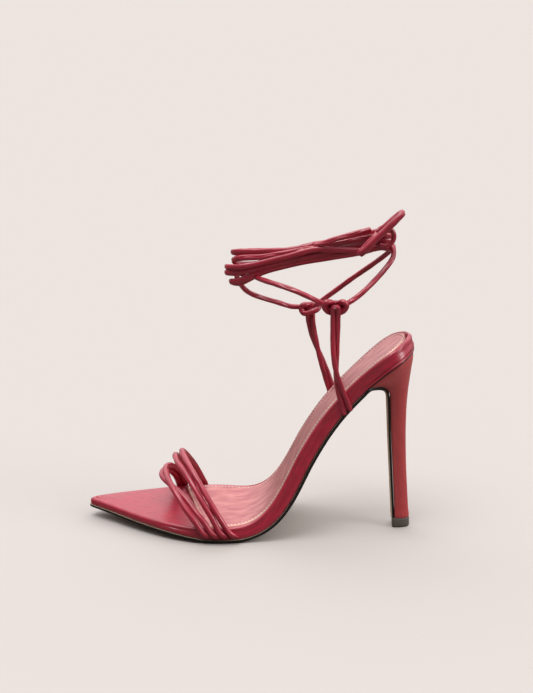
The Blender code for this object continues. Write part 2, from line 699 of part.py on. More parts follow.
def make_loop(name, design, material):
    side = design["side"]
    front_end, rear_end = design["ends"]
    round_part = design["rear_leg"] + design["bar"] + design["front_leg"][::-1]
    free = [(*point, LACE_RADIUS, *LOOP_FLAT_DIRECTION) for point in round_part]
    rows = lasted_end(side, rear_end, LACE_RADIUS, LOOP_LEAN) + free
    rows += lasted_end(side, front_end, LACE_RADIUS, LOOP_LEAN)[::-1]
    path = through(rows, STRAP_STEP, STRAP_TURN)
    thick = np.clip(path[:, 3], TUCK_HALF_THICK, LACE_RADIUS)
    return sweep(name, path, LACE_RADIUS, thick, material, path[:, 4:7])


def wrap_points(name):
    heights, depth = WRAP_HEIGHTS[name], WRAP_DEPTH[name]
    near = [(x, -depth, z) for x, z in zip(WRAP_PLACES, heights)]
    far = [(x, depth, z - WRAP_FAR_DROP) for x, z in zip(WRAP_PLACES, heights)][::-1]
    back = (WRAP_BACK[name], 0.0, heights[-1] - WRAP_FAR_DROP / 2)
    front = (WRAP_FRONT[name], 0.0, heights[0] - WRAP_FAR_DROP / 2)
    return near + [back] + far + [front]


def make_ankle_tie(material):
    """The wraps and both side laces, one body where they cross."""
    solids = [
        sweep(name, through(wrap_points(name), WRAP_STEP, WRAP_TURN, closed=True), LACE_RADIUS, LACE_RADIUS, material, closed=True)
        for name in WRAP_HEIGHTS
    ]
    solids += [
        sweep(name, through(points, STRAP_STEP, LACE_TURN), LACE_RADIUS, LACE_RADIUS, material)
        for name, points in ANKLE_LACES.items()
    ]
    return join_solids("ankle_tie", solids, "MANIFOLD")


def make_cord(name, points, radius, material):
    """A free length of lace as a bevelled curve with closed ends."""
    path = through(points, radius * CORD_STEP, STRAP_TURN)
    curve = bpy.data.curves.new(name, "CURVE")
    curve.dimensions = "3D"
    spline = curve.splines.new("POLY")
    spline.points.add(len(path) - 1)
    for point, place in zip(spline.points, path):
        point.co = (*(place * MM), 1.0)
    curve.bevel_depth = radius * MM
    curve.bevel_resolution = 2
    curve.use_fill_caps = True
    curve.materials.append(material)
    obj = bpy.data.objects.new(name, curve)
    bpy.context.scene.collection.objects.link(obj)
    return obj


def main():
    clear_scene()
    satin = make_material("raspberry_satin", RASPBERRY_SATIN, 0.42)
    coral = make_material("coral_satin", CORAL_SATIN, 0.4)
    sock = make_material("rose_metallic_sock", ROSE_SOCK, 0.38)
    edge = make_material("black_painted_sole", BLACK_EDGE, 0.35)
    rubber = make_material("dark_grey_top_lift", GREY_RUBBER, 0.6)
    make_footbed(satin)
    make_sock(sock)
    make_outsole(edge)
    make_heel(coral)
    make_heel_tip(rubber)
    straps = {
        name: make_strap(name, outer_x, inner_x, free, satin)
        for name, (outer_x, inner_x, free) in TOE_STRAPS.items()
    }
    join_solids("toe_straps_front", [straps["toe_strap_front_a"], straps["toe_strap_front_b"]])
    for name, design in INSTEP_LOOPS.items():
        make_loop(name, design, satin)
    make_ankle_tie(satin)
    make_cord("back_knot", BACK_KNOT, KNOT_RADIUS, satin)
    make_cord("bow_loop", BOW_LOOP, LACE_RADIUS, satin)
    make_cord("tie_end", TIE_END, LACE_RADIUS, satin)


main()
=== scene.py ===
import math

import bmesh
import bpy
import numpy as np
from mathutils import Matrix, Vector


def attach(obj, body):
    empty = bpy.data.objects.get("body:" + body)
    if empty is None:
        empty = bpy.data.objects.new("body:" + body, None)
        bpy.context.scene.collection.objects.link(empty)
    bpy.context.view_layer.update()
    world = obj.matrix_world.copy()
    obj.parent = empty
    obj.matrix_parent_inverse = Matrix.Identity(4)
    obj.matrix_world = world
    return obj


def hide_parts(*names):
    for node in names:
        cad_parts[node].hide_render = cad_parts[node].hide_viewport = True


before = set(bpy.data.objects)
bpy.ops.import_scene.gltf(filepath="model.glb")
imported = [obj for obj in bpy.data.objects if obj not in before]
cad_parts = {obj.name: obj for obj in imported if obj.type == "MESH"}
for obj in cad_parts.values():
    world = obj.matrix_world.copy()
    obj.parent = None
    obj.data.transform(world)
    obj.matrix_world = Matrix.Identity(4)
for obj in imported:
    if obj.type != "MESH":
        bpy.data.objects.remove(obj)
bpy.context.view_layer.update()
mm = 0.001
print("frame loaded:", ", ".join(sorted(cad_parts)))


# Camera

view = {
    "azimuth": 2.5,
    "elevation": 16.0,
    "distance": 0.9,
    "target": (0.019039, 0.0, 0.1203366),
    "lens": 73.627,
    "sensor": 36.0,
}


def makeCamera():
    a, e = math.radians(view["azimuth"]), math.radians(view["elevation"])
    back = Vector((math.sin(a) * math.cos(e), -math.cos(a) * math.cos(e), math.sin(e)))
    data = bpy.data.cameras.new("camera")
    data.sensor_fit = "VERTICAL"
    data.sensor_height = view["sensor"]
    data.lens = view["lens"]
    data.clip_start, data.clip_end = 0.01, 100
    camera = bpy.data.objects.new("camera", data)
    camera.location = Vector(view["target"]) + back * view["distance"]
    camera.rotation_euler = back.to_track_quat("Z", "Y").to_euler()
    bpy.context.scene.collection.objects.link(camera)
    bpy.context.scene.camera = camera


makeCamera()


# Lines and surfaces

fineSteps = 16


def curveBetween(a, b, c, d, t):
    # A smooth curve from b to c, which a and d steer.
    return 0.5 * (2 * b + (c - a) * t + (2 * a - 5 * b + 4 * c - d) * t**2 + (3 * b - a - 3 * c + d) * t**3)


def distances(points):
    # How far along the line each of its points lies.
    return np.concatenate([[0], np.cumsum(np.linalg.norm(np.diff(points, axis=0), axis=1))])


def evenLine(points, spacing, closed=False):
    # A smooth line through the points, as evenly spaced points. Columns past the third go along.
    points = np.array(points, float)
    if closed:
        held = np.vstack([points[-1:], points, points[:2]])
    else:
        held = np.vstack([2 * points[:1] - points[1:2], points, 2 * points[-1:] - points[-2:-1]])
    t = np.arange(0, 1, 1 / fineSteps)[:, None]
    fine = [curveBetween(a, b, c, d, t) for a, b, c, d in zip(held, held[1:], held[2:], held[3:])]
    fine = np.vstack(fine + [held[-2:-1]])
    passed = distances(fine[:, :3])
    at = np.linspace(0, passed[-1], max(8, round(passed[-1] / spacing)) + 1)
    even = np.stack([np.interp(at, passed, column) for column in fine.T], 1)
    return even[:-1] if closed else even


def smoothLine(points, softness, spacing, closed=False):
    # Rounds off what is shorter than softness. An open line keeps its two ends.
    reach = max(1, math.ceil(3 * softness / spacing))
    weights = np.exp(-0.5 * (np.arange(-reach, reach + 1) * spacing / softness) ** 2)
    if closed:
        padded = np.concatenate([points[-reach:], points, points[:reach]])
    else:
        before = 2 * points[0] - points[reach:0:-1]
        after = 2 * points[-1] - points[-2:-reach - 2:-1]
        padded = np.concatenate([before, points, after])
    return np.stack([np.convolve(column, weights / weights.sum(), "valid") for column in padded.T], 1)


def unit(vectors):
    return vectors / np.linalg.norm(vectors, axis=-1, keepdims=True)


def smoothstep(value):
    t = np.clip(value, 0, 1)
    return t * t * (3 - 2 * t)


def bump(value, middle, width):
    return np.exp(-(((value - middle) / width) ** 2))


def ripple(seed, count, lengths, total):
    # Slow random waves along a line of this many points, about one unit high.
    random = np.random.default_rng(seed)
    along = np.linspace(0, total, count)
    waves = [np.sin(2 * np.pi * along / length + random.uniform(0, 2 * np.pi)) for length in lengths]
    return sum(waves) / math.sqrt(len(waves))


def link(obj):
    bpy.context.scene.collection.objects.link(obj)
    return obj


def finishPiece(obj, nodes=()):
    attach(obj, "root")
    if nodes:
        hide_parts(*nodes)
    return obj


def surface(name, sheets, materials, sharpAngle=50):
    # One mesh from grids of points. Grids that share points along an edge are closed there.
    # A sheet is its points, its cloth places (across, along) and the material of its columns.
    allPoints, allPlaces, allFaces, allSlots = [], [], [], []
    start = 0
    for points, places, slots in sheets:
        rows, columns = points.shape[:2]
        index = start + np.arange(rows * columns).reshape(rows, columns)
        faces = np.stack([index[:-1, :-1], index[:-1, 1:], index[1:, 1:], index[1:, :-1]], -1)
        allSlots.append(np.broadcast_to(slots, faces.shape[:2]).ravel())
        allFaces.append(faces.reshape(-1, 4))
        allPoints.append(points.reshape(-1, 3))
        allPlaces.append(places.reshape(-1, 2))
        start += rows * columns
    faces = np.vstack(allFaces)
    mesh = bpy.data.meshes.new(name)
    mesh.from_pydata((np.vstack(allPoints) * mm).tolist(), [], faces.tolist())
    cloth = mesh.uv_layers.new(name="cloth")
    cloth.data.foreach_set("uv", (np.vstack(allPlaces)[faces.ravel()] * mm).ravel())
    mesh.polygons.foreach_set("material_index", np.concatenate(allSlots).astype(np.int32))
    work = bmesh.new()
    work.from_mesh(mesh)
    bmesh.ops.remove_doubles(work, verts=work.verts, dist=mm * 0.001)
    bmesh.ops.dissolve_degenerate(work, edges=work.edges, dist=mm * 0.0001)
    bmesh.ops.recalc_face_normals(work, faces=work.faces)
    work.to_mesh(mesh)
    work.free()
    mesh.shade_smooth()
    mesh.set_sharp_from_angle(angle=math.radians(sharpAngle))
    for material in materials:
        mesh.materials.append(material)
    return link(bpy.data.objects.new(name, mesh))


# Materials

def linear(code):
    # An sRGB hex colour as linear red, green, blue and alpha.
    values = [int(code[i:i + 2], 16) / 255 for i in (1, 3, 5)]
    return (*(v / 12.92 if v <= 0.04045 else ((v + 0.055) / 1.055) ** 2.4 for v in values), 1.0)


def addNode(tree, kind, inputs=None, **settings):
    # One node with its settings. An input is a value, an output, or a node for its first output.
    node = tree.nodes.new(kind)
    for name, value in settings.items():
        setattr(node, name, value)
    for socket, value in (inputs or {}).items():
        value = value.outputs[0] if isinstance(value, bpy.types.Node) else value
        if isinstance(value, bpy.types.NodeSocket):
            tree.links.new(value, node.inputs[socket])
        else:
            node.inputs[socket].default_value = value
    return node


def newMaterial(name):
    material = bpy.data.materials.new(name)
    material.use_nodes = True
    tree = material.node_tree
    tree.nodes.clear()
    shader = addNode(tree, "ShaderNodeBsdfPrincipled")
    addNode(tree, "ShaderNodeOutputMaterial", {"Surface": shader.outputs[0]})
    return material, tree, shader


def clothPlace(tree, turn, scale):
    # The piece's cloth map in millimetres, turned, and divided by the pattern's size.
    place = addNode(tree, "ShaderNodeUVMap", uv_map="cloth")
    return addNode(tree, "ShaderNodeMapping", {
        "Vector": place.outputs[0],
        "Rotation": (0, 0, math.radians(turn)),
        "Scale": (1000 / scale[0], 1000 / scale[1], 1),
    }).outputs[0]


satin = {
    "raspberry": "#BC263F",
    "raspberryDeep": "#861228",
    # coral, coralDeep and sheenCoral are a lighter, warmer copy of the raspberry for the heel: painted sheen
    # of the heel's satin
    "coral": "#C94849",
    "coralDeep": "#B0383D",
    "sheenPink": "#FFB0B8",
    "sheenCoral": "#FFC0A8",
    "biasTurn": 38,         # the laces are cut on the bias, in degrees
    "threadAcross": 0.55,   # spacing of the shown ribs, coarser than the real 0.15 so that they show
    "threadAlong": 9.0,
    "ribDepth": 0.08,
    "slub": 5.0,            # length of the slow changes in the dye and lay of the cloth
    "roughness": (0.26, 0.4),
    "ior": 1.54,
    "specular": 0.7,
    "sheen": 0.1,
    "sheenRoughness": 0.3,
}


def makeSatin(name, colour, deep, sheen, turn):
    # Duchess satin of filament yarn: a tight face of long floats, so it shines along the cloth
    # in soft broad highlights and falls to a deep colour where it turns away.
    material, tree, shader = newMaterial(name)
    ribs = addNode(tree, "ShaderNodeTexNoise", {
        "Vector": clothPlace(tree, turn, (satin["threadAcross"], satin["threadAlong"])),
        "Scale": 1.0, "Detail": 2.0, "Roughness": 0.5,
    })
    slubs = addNode(tree, "ShaderNodeTexNoise", {
        "Vector": clothPlace(tree, turn, (satin["slub"] * 0.5, satin["slub"] * 2)),
        "Scale": 1.0, "Detail": 3.0,
    })
    share = addNode(tree, "ShaderNodeMapRange", {
        "Value": slubs, "From Min": 0.35, "From Max": 0.7, "To Min": 0.0, "To Max": 0.6,
    })
    ground = addNode(tree, "ShaderNodeMix", {0: share, 6: linear(colour), 7: linear(deep)}, data_type="RGBA")
    streak = addNode(tree, "ShaderNodeMapRange", {
        "Value": ribs, "From Min": 0.3, "From Max": 0.7, "To Min": 0.0, "To Max": 0.6,
    })
    dyed = addNode(tree, "ShaderNodeMix", {
        0: streak, 6: ground.outputs[2], 7: linear(deep),
    }, data_type="RGBA")
    tree.links.new(dyed.outputs[2], shader.inputs["Base Color"])
    smooth, rough = satin["roughness"]
    gloss = addNode(tree, "ShaderNodeMapRange", {
        "Value": ribs, "From Min": 0.3, "From Max": 0.7, "To Min": smooth, "To Max": rough,
    })
    tree.links.new(gloss.outputs[0], shader.inputs["Roughness"])
    relief = addNode(tree, "ShaderNodeBump", {
        "Height": ribs, "Strength": 0.5, "Distance": satin["ribDepth"] * mm,
    })
    tree.links.new(relief.outputs[0], shader.inputs["Normal"])
    shader.inputs["IOR"].default_value = satin["ior"]
    shader.inputs["Specular IOR Level"].default_value = satin["specular"]
    shader.inputs["Sheen Weight"].default_value = satin["sheen"]
    shader.inputs["Sheen Roughness"].default_value = satin["sheenRoughness"]
    shader.inputs["Sheen Tint"].default_value = linear(sheen)
    return material


foil = {
    "rose": "#CE8683",
    "roseDeep": "#B4666B",
    # pale and paleDeep are a paler foil that paints the highlight along the sock's rounded edge
    "pale": "#E6BBA9",
    "paleDeep": "#D29A90",
    "grain": 0.8,           # width of the hide's cells
    "grainDepth": 0.06,
    "clouds": (5.0, 14.0),  # across and along the sock
    "roughness": (0.34, 0.48),
    "metallic": 0.75,
}


def makeFoilLeather(name, rose, roseDeep):
    # Sheepskin with a rose foil pressed on: it mirrors softly in the folds and shows the hide's grain.
    material, tree, shader = newMaterial(name)
    grain = addNode(tree, "ShaderNodeTexVoronoi", {
        "Vector": clothPlace(tree, 20, (foil["grain"], foil["grain"] * 1.4)), "Scale": 1.0,
    }, feature="SMOOTH_F1")
    cloud = addNode(tree, "ShaderNodeTexNoise", {
        "Vector": clothPlace(tree, 0, foil["clouds"]), "Scale": 1.0, "Detail": 4.0,
    })
    share = addNode(tree, "ShaderNodeMapRange", {
        "Value": cloud, "From Min": 0.35, "From Max": 0.65, "To Min": 0.0, "To Max": 1.0,
    })
    tone = addNode(tree, "ShaderNodeMix", {0: share, 6: linear(rose), 7: linear(roseDeep)}, data_type="RGBA")
    tree.links.new(tone.outputs[2], shader.inputs["Base Color"])
    smooth, rough = foil["roughness"]
    gloss = addNode(tree, "ShaderNodeMapRange", {
        "Value": grain, "From Min": 0.0, "From Max": 0.8, "To Min": smooth, "To Max": rough,
    })
    tree.links.new(gloss.outputs[0], shader.inputs["Roughness"])
    relief = addNode(tree, "ShaderNodeBump", {
        "Height": grain, "Strength": 0.35, "Distance": foil["grainDepth"] * mm,
    })
    tree.links.new(relief.outputs[0], shader.inputs["Normal"])
    shader.inputs["Metallic"].default_value = foil["metallic"]
    return material


sole = {
    "paint": "#14100F",
    "cream": "#E3CDB4",
    "creamDeep": "#CDB093",
    "rubber": "#554D47",
    "rubberPale": "#675E57",
    "thread": "#F0DECB",
    "brush": (0.5, 6.0),    # ridges that the edge brush leaves, across and along
    "brushDepth": 0.05,
    "leatherClouds": (6.0, 14.0),
    "pores": (0.5, 0.6),
    "poreDepth": 0.04,
    "grit": 0.5,
    "gritDepth": 0.04,
}


def makeEdgePaint():
    # Acrylic edge paint on leather: an even black skin with a low gloss and faint brush ridges.
    material, tree, shader = newMaterial("black_edge_paint")
    ridges = addNode(tree, "ShaderNodeTexNoise", {
        "Vector": clothPlace(tree, 0, sole["brush"]), "Scale": 1.0, "Detail": 2.0,
    })
    shader.inputs["Base Color"].default_value = linear(sole["paint"])
    gloss = addNode(tree, "ShaderNodeMapRange", {
        "Value": ridges, "From Min": 0.3, "From Max": 0.7, "To Min": 0.3, "To Max": 0.5,
    })
    tree.links.new(gloss.outputs[0], shader.inputs["Roughness"])
    relief = addNode(tree, "ShaderNodeBump", {
        "Height": ridges, "Strength": 0.4, "Distance": sole["brushDepth"] * mm,
    })
    tree.links.new(relief.outputs[0], shader.inputs["Normal"])
    return material


def makeSoleLeather():
    # Vegetable tanned sole leather, waxed and brushed: smooth, matt and slightly clouded.
    material, tree, shader = newMaterial("cream_sole_leather")
    cloud = addNode(tree, "ShaderNodeTexNoise", {
        "Vector": clothPlace(tree, 0, sole["leatherClouds"]), "Scale": 1.0, "Detail": 5.0, "Roughness": 0.6,
    })
    pores = addNode(tree, "ShaderNodeTexNoise", {
        "Vector": clothPlace(tree, 0, sole["pores"]), "Scale": 1.0, "Detail": 2.0,
    })
    tone = addNode(tree, "ShaderNodeMix", {
        0: cloud, 6: linear(sole["cream"]), 7: linear(sole["creamDeep"]),
    }, data_type="RGBA")
    tree.links.new(tone.outputs[2], shader.inputs["Base Color"])
    shader.inputs["Roughness"].default_value = 0.5
    relief = addNode(tree, "ShaderNodeBump", {
        "Height": pores, "Strength": 0.3, "Distance": sole["poreDepth"] * mm,
    })
    tree.links.new(relief.outputs[0], shader.inputs["Normal"])
    return material


def makeLiftRubber():
    # Hard moulded polyurethane top lift: dark grey, matt, with a fine moulded texture.
    material, tree, shader = newMaterial("grey_lift_rubber")
    place = addNode(tree, "ShaderNodeTexCoord")
    grit = addNode(tree, "ShaderNodeTexNoise", {
        "Vector": place.outputs["Object"], "Scale": 1 / (sole["grit"] * mm), "Detail": 2.0,
    })
    tone = addNode(tree, "ShaderNodeMix", {
        0: grit, 6: linear(sole["rubber"]), 7: linear(sole["rubberPale"]),
    }, data_type="RGBA")
    tree.links.new(tone.outputs[2], shader.inputs["Base Color"])
    shader.inputs["Roughness"].default_value = 0.55
    relief = addNode(tree, "ShaderNodeBump", {
        "Height": grit, "Strength": 0.4, "Distance": sole["gritDepth"] * mm,
    })
    tree.links.new(relief.outputs[0], shader.inputs["Normal"])
    return material


def makeStitchThread():
    # Polyester sewing thread: cream, with a soft low gloss.
    material, _, shader = newMaterial("cream_stitch_thread")
    shader.inputs["Base Color"].default_value = linear(sole["thread"])
    shader.inputs["Roughness"].default_value = 0.5
    return material


laceSatin = makeSatin("raspberry_satin_bias", satin["raspberry"], satin["raspberryDeep"],
                      satin["sheenPink"], satin["biasTurn"])
wrapSatin = makeSatin("raspberry_satin_straight", satin["raspberry"], satin["raspberryDeep"],
                      satin["sheenPink"], 0)
# The heel's satin is the raspberry satin painted lighter and warmer: a painted sheen.
heelSatin = makeSatin("coral_satin_heel_painted_sheen", satin["coral"], satin["coralDeep"], satin["sheenCoral"], 0)
foilLeather = makeFoilLeather("rose_foil_leather", foil["rose"], foil["roseDeep"])
# The paler copy of the foil paints the highlight along the sock's rounded edge.
edgeHighlightFoil = makeFoilLeather("pale_foil_painted_edge_highlight", foil["pale"], foil["paleDeep"])
edgePaint = makeEdgePaint()
soleLeather = makeSoleLeather()
liftRubber = makeLiftRubber()
stitchThread = makeStitchThread()
print("materials made")


# The last: the rim's line along the middle (x, z), its outer and inner edge, and the wall's height.

lastSizes = {
    "rows": (
        (-97.4, 12.9, 5.3, 9.3, 4.0), (-95.0, 12.8, 3.9, 11.4, 4.0), (-90.0, 12.5, 0.7, 14.8, 4.0),
        (-80.0, 11.9, -6.0, 20.8, 4.0), (-70.0, 11.4, -13.2, 25.7, 4.1), (-60.0, 11.0, -19.9, 30.2, 4.3),
        (-50.0, 10.8, -25.8, 34.0, 4.8), (-40.0, 10.6, -30.6, 37.0, 5.5), (-30.0, 10.4, -34.0, 39.4, 6.3),
        (-22.0, 10.3, -35.6, 40.7, 7.2), (-15.0, 10.3, -35.8, 41.1, 8.0), (-7.0, 10.3, -35.4, 40.8, 8.0),
        (1.0, 10.3, -34.4, 39.4, 8.0), (8.0, 11.7, -32.8, 37.0, 8.2), (15.0, 15.3, -31.2, 34.5, 8.5),
        (20.0, 19.8, -30.0, 32.8, 8.8), (25.0, 26.4, -28.7, 31.0, 9.0), (30.0, 35.2, -27.3, 29.2, 9.1),
        (35.0, 45.6, -26.0, 27.5, 9.1), (40.0, 56.0, -24.8, 25.9, 9.1), (50.0, 73.2, -22.7, 23.2, 9.1),
        (60.0, 87.0, -21.2, 21.4, 9.0), (70.0, 98.4, -20.5, 20.5, 9.0), (80.0, 108.6, -20.9, 20.9, 9.0),
        (90.0, 117.7, -22.0, 22.0, 9.1), (96.0, 122.4, -21.6, 21.6, 9.3), (101.0, 125.8, -18.8, 18.8, 9.6),
        (105.0, 128.2, -14.2, 14.2, 9.8), (108.0, 129.6, -9.0, 9.0, 10.0), (110.0, 130.3, -1.2, 1.2, 10.0),
    ),
    "railStep": 0.5,
    "railSoftness": 4.0,
    "outlineStep": 1.0,
    "outlineSoftness": 1.6,
    "toeRound": 0.5,        # how far the outline goes past the first and last row
    "heelRound": 0.4,
}


class Last:
    # s runs along the rim's middle from toe to heel, y is across, and n is the height above the rim.
    def __init__(self):
        rows = np.array(lastSizes["rows"])
        chords = np.hypot(np.diff(rows[:, 0]), np.diff(rows[:, 1]))
        self.rowX = rows[:, 0]
        self.rowS = np.concatenate([[0], np.cumsum(chords)])
        self.length = self.rowS[-1]
        step = lastSizes["railStep"]
        table = np.column_stack([rows[:, 0], rows[:, 1], 0 * rows[:, 0], rows[:, 4], self.rowS])
        rail = smoothLine(evenLine(table, step), lastSizes["railSoftness"], step)
        before = rail[0] + (rail[0] - rail[4]) * 3
        after = rail[-1] + (rail[-1] - rail[-5]) * 3
        rail = np.vstack([before, rail, after])
        self.railS, self.railX, self.railZ, self.wallHeight = rail[:, 4], rail[:, 0], rail[:, 1], rail[:, 3]
        slopes = unit(np.stack([np.gradient(self.railX, self.railS), np.gradient(self.railZ, self.railS)], 1))
        self.slopeX, self.slopeZ = slopes[:, 0], slopes[:, 1]
        outer = np.column_stack([self.rowS, rows[:, 2]])
        inner = np.column_stack([self.rowS, rows[:, 3]])[::-1]
        toe = [[-lastSizes["toeRound"], (rows[0, 2] + rows[0, 3]) / 2]]
        heel = [[self.length + lastSizes["heelRound"], 0.0]]
        self.sideOuter = self.side(np.vstack([toe, outer, heel]))
        self.sideInner = self.side(np.vstack([toe, inner[::-1], heel]))

    def side(self, points):
        # One side of the outline from toe to heel, evenly spaced along it.
        flat = np.column_stack([points, np.zeros(len(points))])
        line = evenLine(flat, lastSizes["outlineStep"])
        return line[:, :2]

    def sAt(self, x):
        return np.interp(x, self.rowX, self.rowS)

    def wall(self, s):
        return np.interp(s, self.railS, self.wallHeight)

    def edge(self, side, s):
        line = self.sideOuter if side == "outer" else self.sideInner
        return np.interp(s, line[:, 0], line[:, 1])

    def place(self, s, y, n):
        s, y, n = np.broadcast_arrays(np.asarray(s, float), y, n)
        slopeX, slopeZ = np.interp(s, self.railS, self.slopeX), np.interp(s, self.railS, self.slopeZ)
        x = np.interp(s, self.railS, self.railX) - n * slopeZ
        z = np.interp(s, self.railS, self.railZ) + n * slopeX
        return np.stack([x, y, z], -1)

    def outline(self, count):
        # The closed outline (s, y): count points on each side, from the toe round the outer side.
        outer = evenLine(np.column_stack([self.sideOuter, 0 * self.sideOuter[:, 0]]), lastSizes["railStep"])
        inner = evenLine(np.column_stack([self.sideInner, 0 * self.sideInner[:, 0]]), lastSizes["railStep"])
        loop = np.vstack([outer, inner[-2:0:-1]])[:, :2]
        loop = smoothLine(loop, lastSizes["outlineSoftness"], lastSizes["railStep"], closed=True)
        half = len(outer) - 1
        sides = []
        for part in (loop[:half + 1], np.vstack([loop[half:], loop[:1]])):
            passed = distances(part)
            at = np.linspace(0, passed[-1], count + 1)
            sides.append(np.stack([np.interp(at, passed, part[:, k]) for k in (0, 1)], 1)[:-1])
        return np.vstack(sides)


last = Last()


def inwards(outline):
    # The direction to the inside at each point of a closed outline that starts round the outer side.
    along = unit(np.roll(outline, -1, axis=0) - np.roll(outline, 1, axis=0))
    return np.stack([-along[:, 1], along[:, 0]], 1)


# Laces and straps: Geometry Nodes sweep a creased tube along each one's line.

tubeSizes = {
    "sides": 24,
    "creaseDepth": 0.26,     # parts of the radius
    "creaseSharpness": 26.0,
    "step": 1.1,
    "softness": 1.4,
    "strapRadius": 1.95,
    "laceRadius": 1.65,
    "tuckHalfThick": 0.8,
    "roundEndSteps": 5,
    "roundEndLength": 0.8,  # parts of the radius
    "waves": (9.0, 14.0, 23.0),     # lengths of the slow changes in a lace's width
    "waveHeight": 0.03,
    "ringWaves": 11,                # the same round a closed lace
    "ringWaveShare": 0.7,
    "creaseWaves": (17.0, 31.0),    # lengths over which the crease wanders
    "creaseSwing": 0.5,
}


def buildTubeTree():
    # Line points carry centre, sideways, outwards, halfWidth, halfThick, crease and along.
    tree = bpy.data.node_groups.new("creased_satin_tube", "GeometryNodeTree")
    tree.interface.new_socket("Geometry", in_out="INPUT", socket_type="NodeSocketGeometry")
    for name, kind in (("Sides", "NodeSocketInt"), ("Crease Depth", "NodeSocketFloat"),
                       ("Crease Sharpness", "NodeSocketFloat"), ("Girth", "NodeSocketFloat"),
                       ("Material", "NodeSocketMaterial")):
        tree.interface.new_socket(name, in_out="INPUT", socket_type=kind)
    tree.interface.new_socket("Geometry", in_out="OUTPUT", socket_type="NodeSocketGeometry")
    given = addNode(tree, "NodeGroupInput").outputs
    carried = {
        name: addNode(tree, "GeometryNodeInputNamedAttribute", {"Name": name}, data_type=kind)
        for kind, names in (("FLOAT_VECTOR", ("centre", "sideways", "outwards")),
                            ("FLOAT", ("halfWidth", "halfThick", "crease", "along", "around")))
        for name in names
    }

    # The sweep, with the place round it kept in "around"
    line = addNode(tree, "GeometryNodeMeshToCurve", {"Mesh": given["Geometry"]})
    corners = addNode(tree, "ShaderNodeMath", {0: given["Sides"], 1: 1.0}, operation="ADD")
    ring = addNode(tree, "GeometryNodeCurveArc", {
        "Resolution": corners, "Radius": 1.0, "Sweep Angle": 2 * math.pi,
    })
    turned = addNode(tree, "GeometryNodeSplineParameter").outputs["Factor"]
    ring = addNode(tree, "GeometryNodeStoreNamedAttribute", {
        "Geometry": ring, "Name": "around", "Value": turned,
    }, data_type="FLOAT", domain="POINT")
    tube = addNode(tree, "GeometryNodeCurveToMesh", {
        "Curve": line, "Profile Curve": ring, "Fill Caps": False,
    })

    # A narrow crease where the turn meets the crease's angle
    angle = addNode(tree, "ShaderNodeMath", {0: carried["around"], 1: 2 * math.pi}, operation="MULTIPLY")
    apart = addNode(tree, "ShaderNodeMath", {0: angle, 1: carried["crease"]}, operation="SUBTRACT")
    fold = addNode(tree, "ShaderNodeMath", {0: apart}, operation="COSINE")
    fold = addNode(tree, "ShaderNodeMath", {0: fold, 1: 0.0}, operation="MAXIMUM")
    fold = addNode(tree, "ShaderNodeMath", {0: fold, 1: given["Crease Sharpness"]}, operation="POWER")
    fold = addNode(tree, "ShaderNodeMath", {0: fold, 1: given["Crease Depth"]}, operation="MULTIPLY")
    share = addNode(tree, "ShaderNodeMath", {0: 1.0, 1: fold}, operation="SUBTRACT")
    reaches = []
    for turn, size, direction in (("COSINE", "halfWidth", "sideways"), ("SINE", "halfThick", "outwards")):
        reach = addNode(tree, "ShaderNodeMath", {0: angle}, operation=turn)
        reach = addNode(tree, "ShaderNodeMath", {0: reach, 1: carried[size]}, operation="MULTIPLY")
        reach = addNode(tree, "ShaderNodeMath", {0: reach, 1: share}, operation="MULTIPLY")
        reaches.append(addNode(tree, "ShaderNodeVectorMath", {
            0: carried[direction], "Scale": reach,
        }, operation="SCALE"))
    reach = addNode(tree, "ShaderNodeVectorMath", {0: reaches[0], 1: reaches[1]}, operation="ADD")
    place = addNode(tree, "ShaderNodeVectorMath", {0: carried["centre"], 1: reach}, operation="ADD")
    tube = addNode(tree, "GeometryNodeSetPosition", {"Geometry": tube, "Position": place})

    # Where each corner lies on the cloth
    across = addNode(tree, "ShaderNodeMath", {0: carried["around"], 1: given["Girth"]}, operation="MULTIPLY")
    cloth = addNode(tree, "ShaderNodeCombineXYZ", {"X": across, "Y": carried["along"]})
    tube = addNode(tree, "GeometryNodeStoreNamedAttribute", {
        "Geometry": tube, "Name": "cloth", "Value": cloth,
    }, data_type="FLOAT2", domain="CORNER")
    tube = addNode(tree, "GeometryNodeMergeByDistance", {"Geometry": tube, "Distance": mm * 0.001})
    tube = addNode(tree, "GeometryNodeSetShadeSmooth", {"Geometry": tube})
    tube = addNode(tree, "GeometryNodeRealizeInstances", {"Geometry": tube})
    tube = addNode(tree, "GeometryNodeSetMaterial", {"Geometry": tube, "Material": given["Material"]})
    addNode(tree, "NodeGroupOutput", {"Geometry": tube})
    return tree


tubeTree = buildTubeTree()


def runNodes(name, source, tree, values):
    # Runs a node tree on the source mesh and keeps the result as a plain mesh object.
    carrier = link(bpy.data.objects.new(name + "_line", source))
    modifier = carrier.modifiers.new(name, "NODES")
    modifier.node_group = tree
    sockets = {item.name: item.identifier for item in tree.interface.items_tree if item.in_out == "INPUT"}
    for socket, value in values.items():
        modifier[sockets[socket]] = value
    graph = bpy.context.evaluated_depsgraph_get()
    mesh = bpy.data.meshes.new_from_object(carrier.evaluated_get(graph), depsgraph=graph)
    mesh.name = name
    bpy.data.objects.remove(carrier)
    return mesh


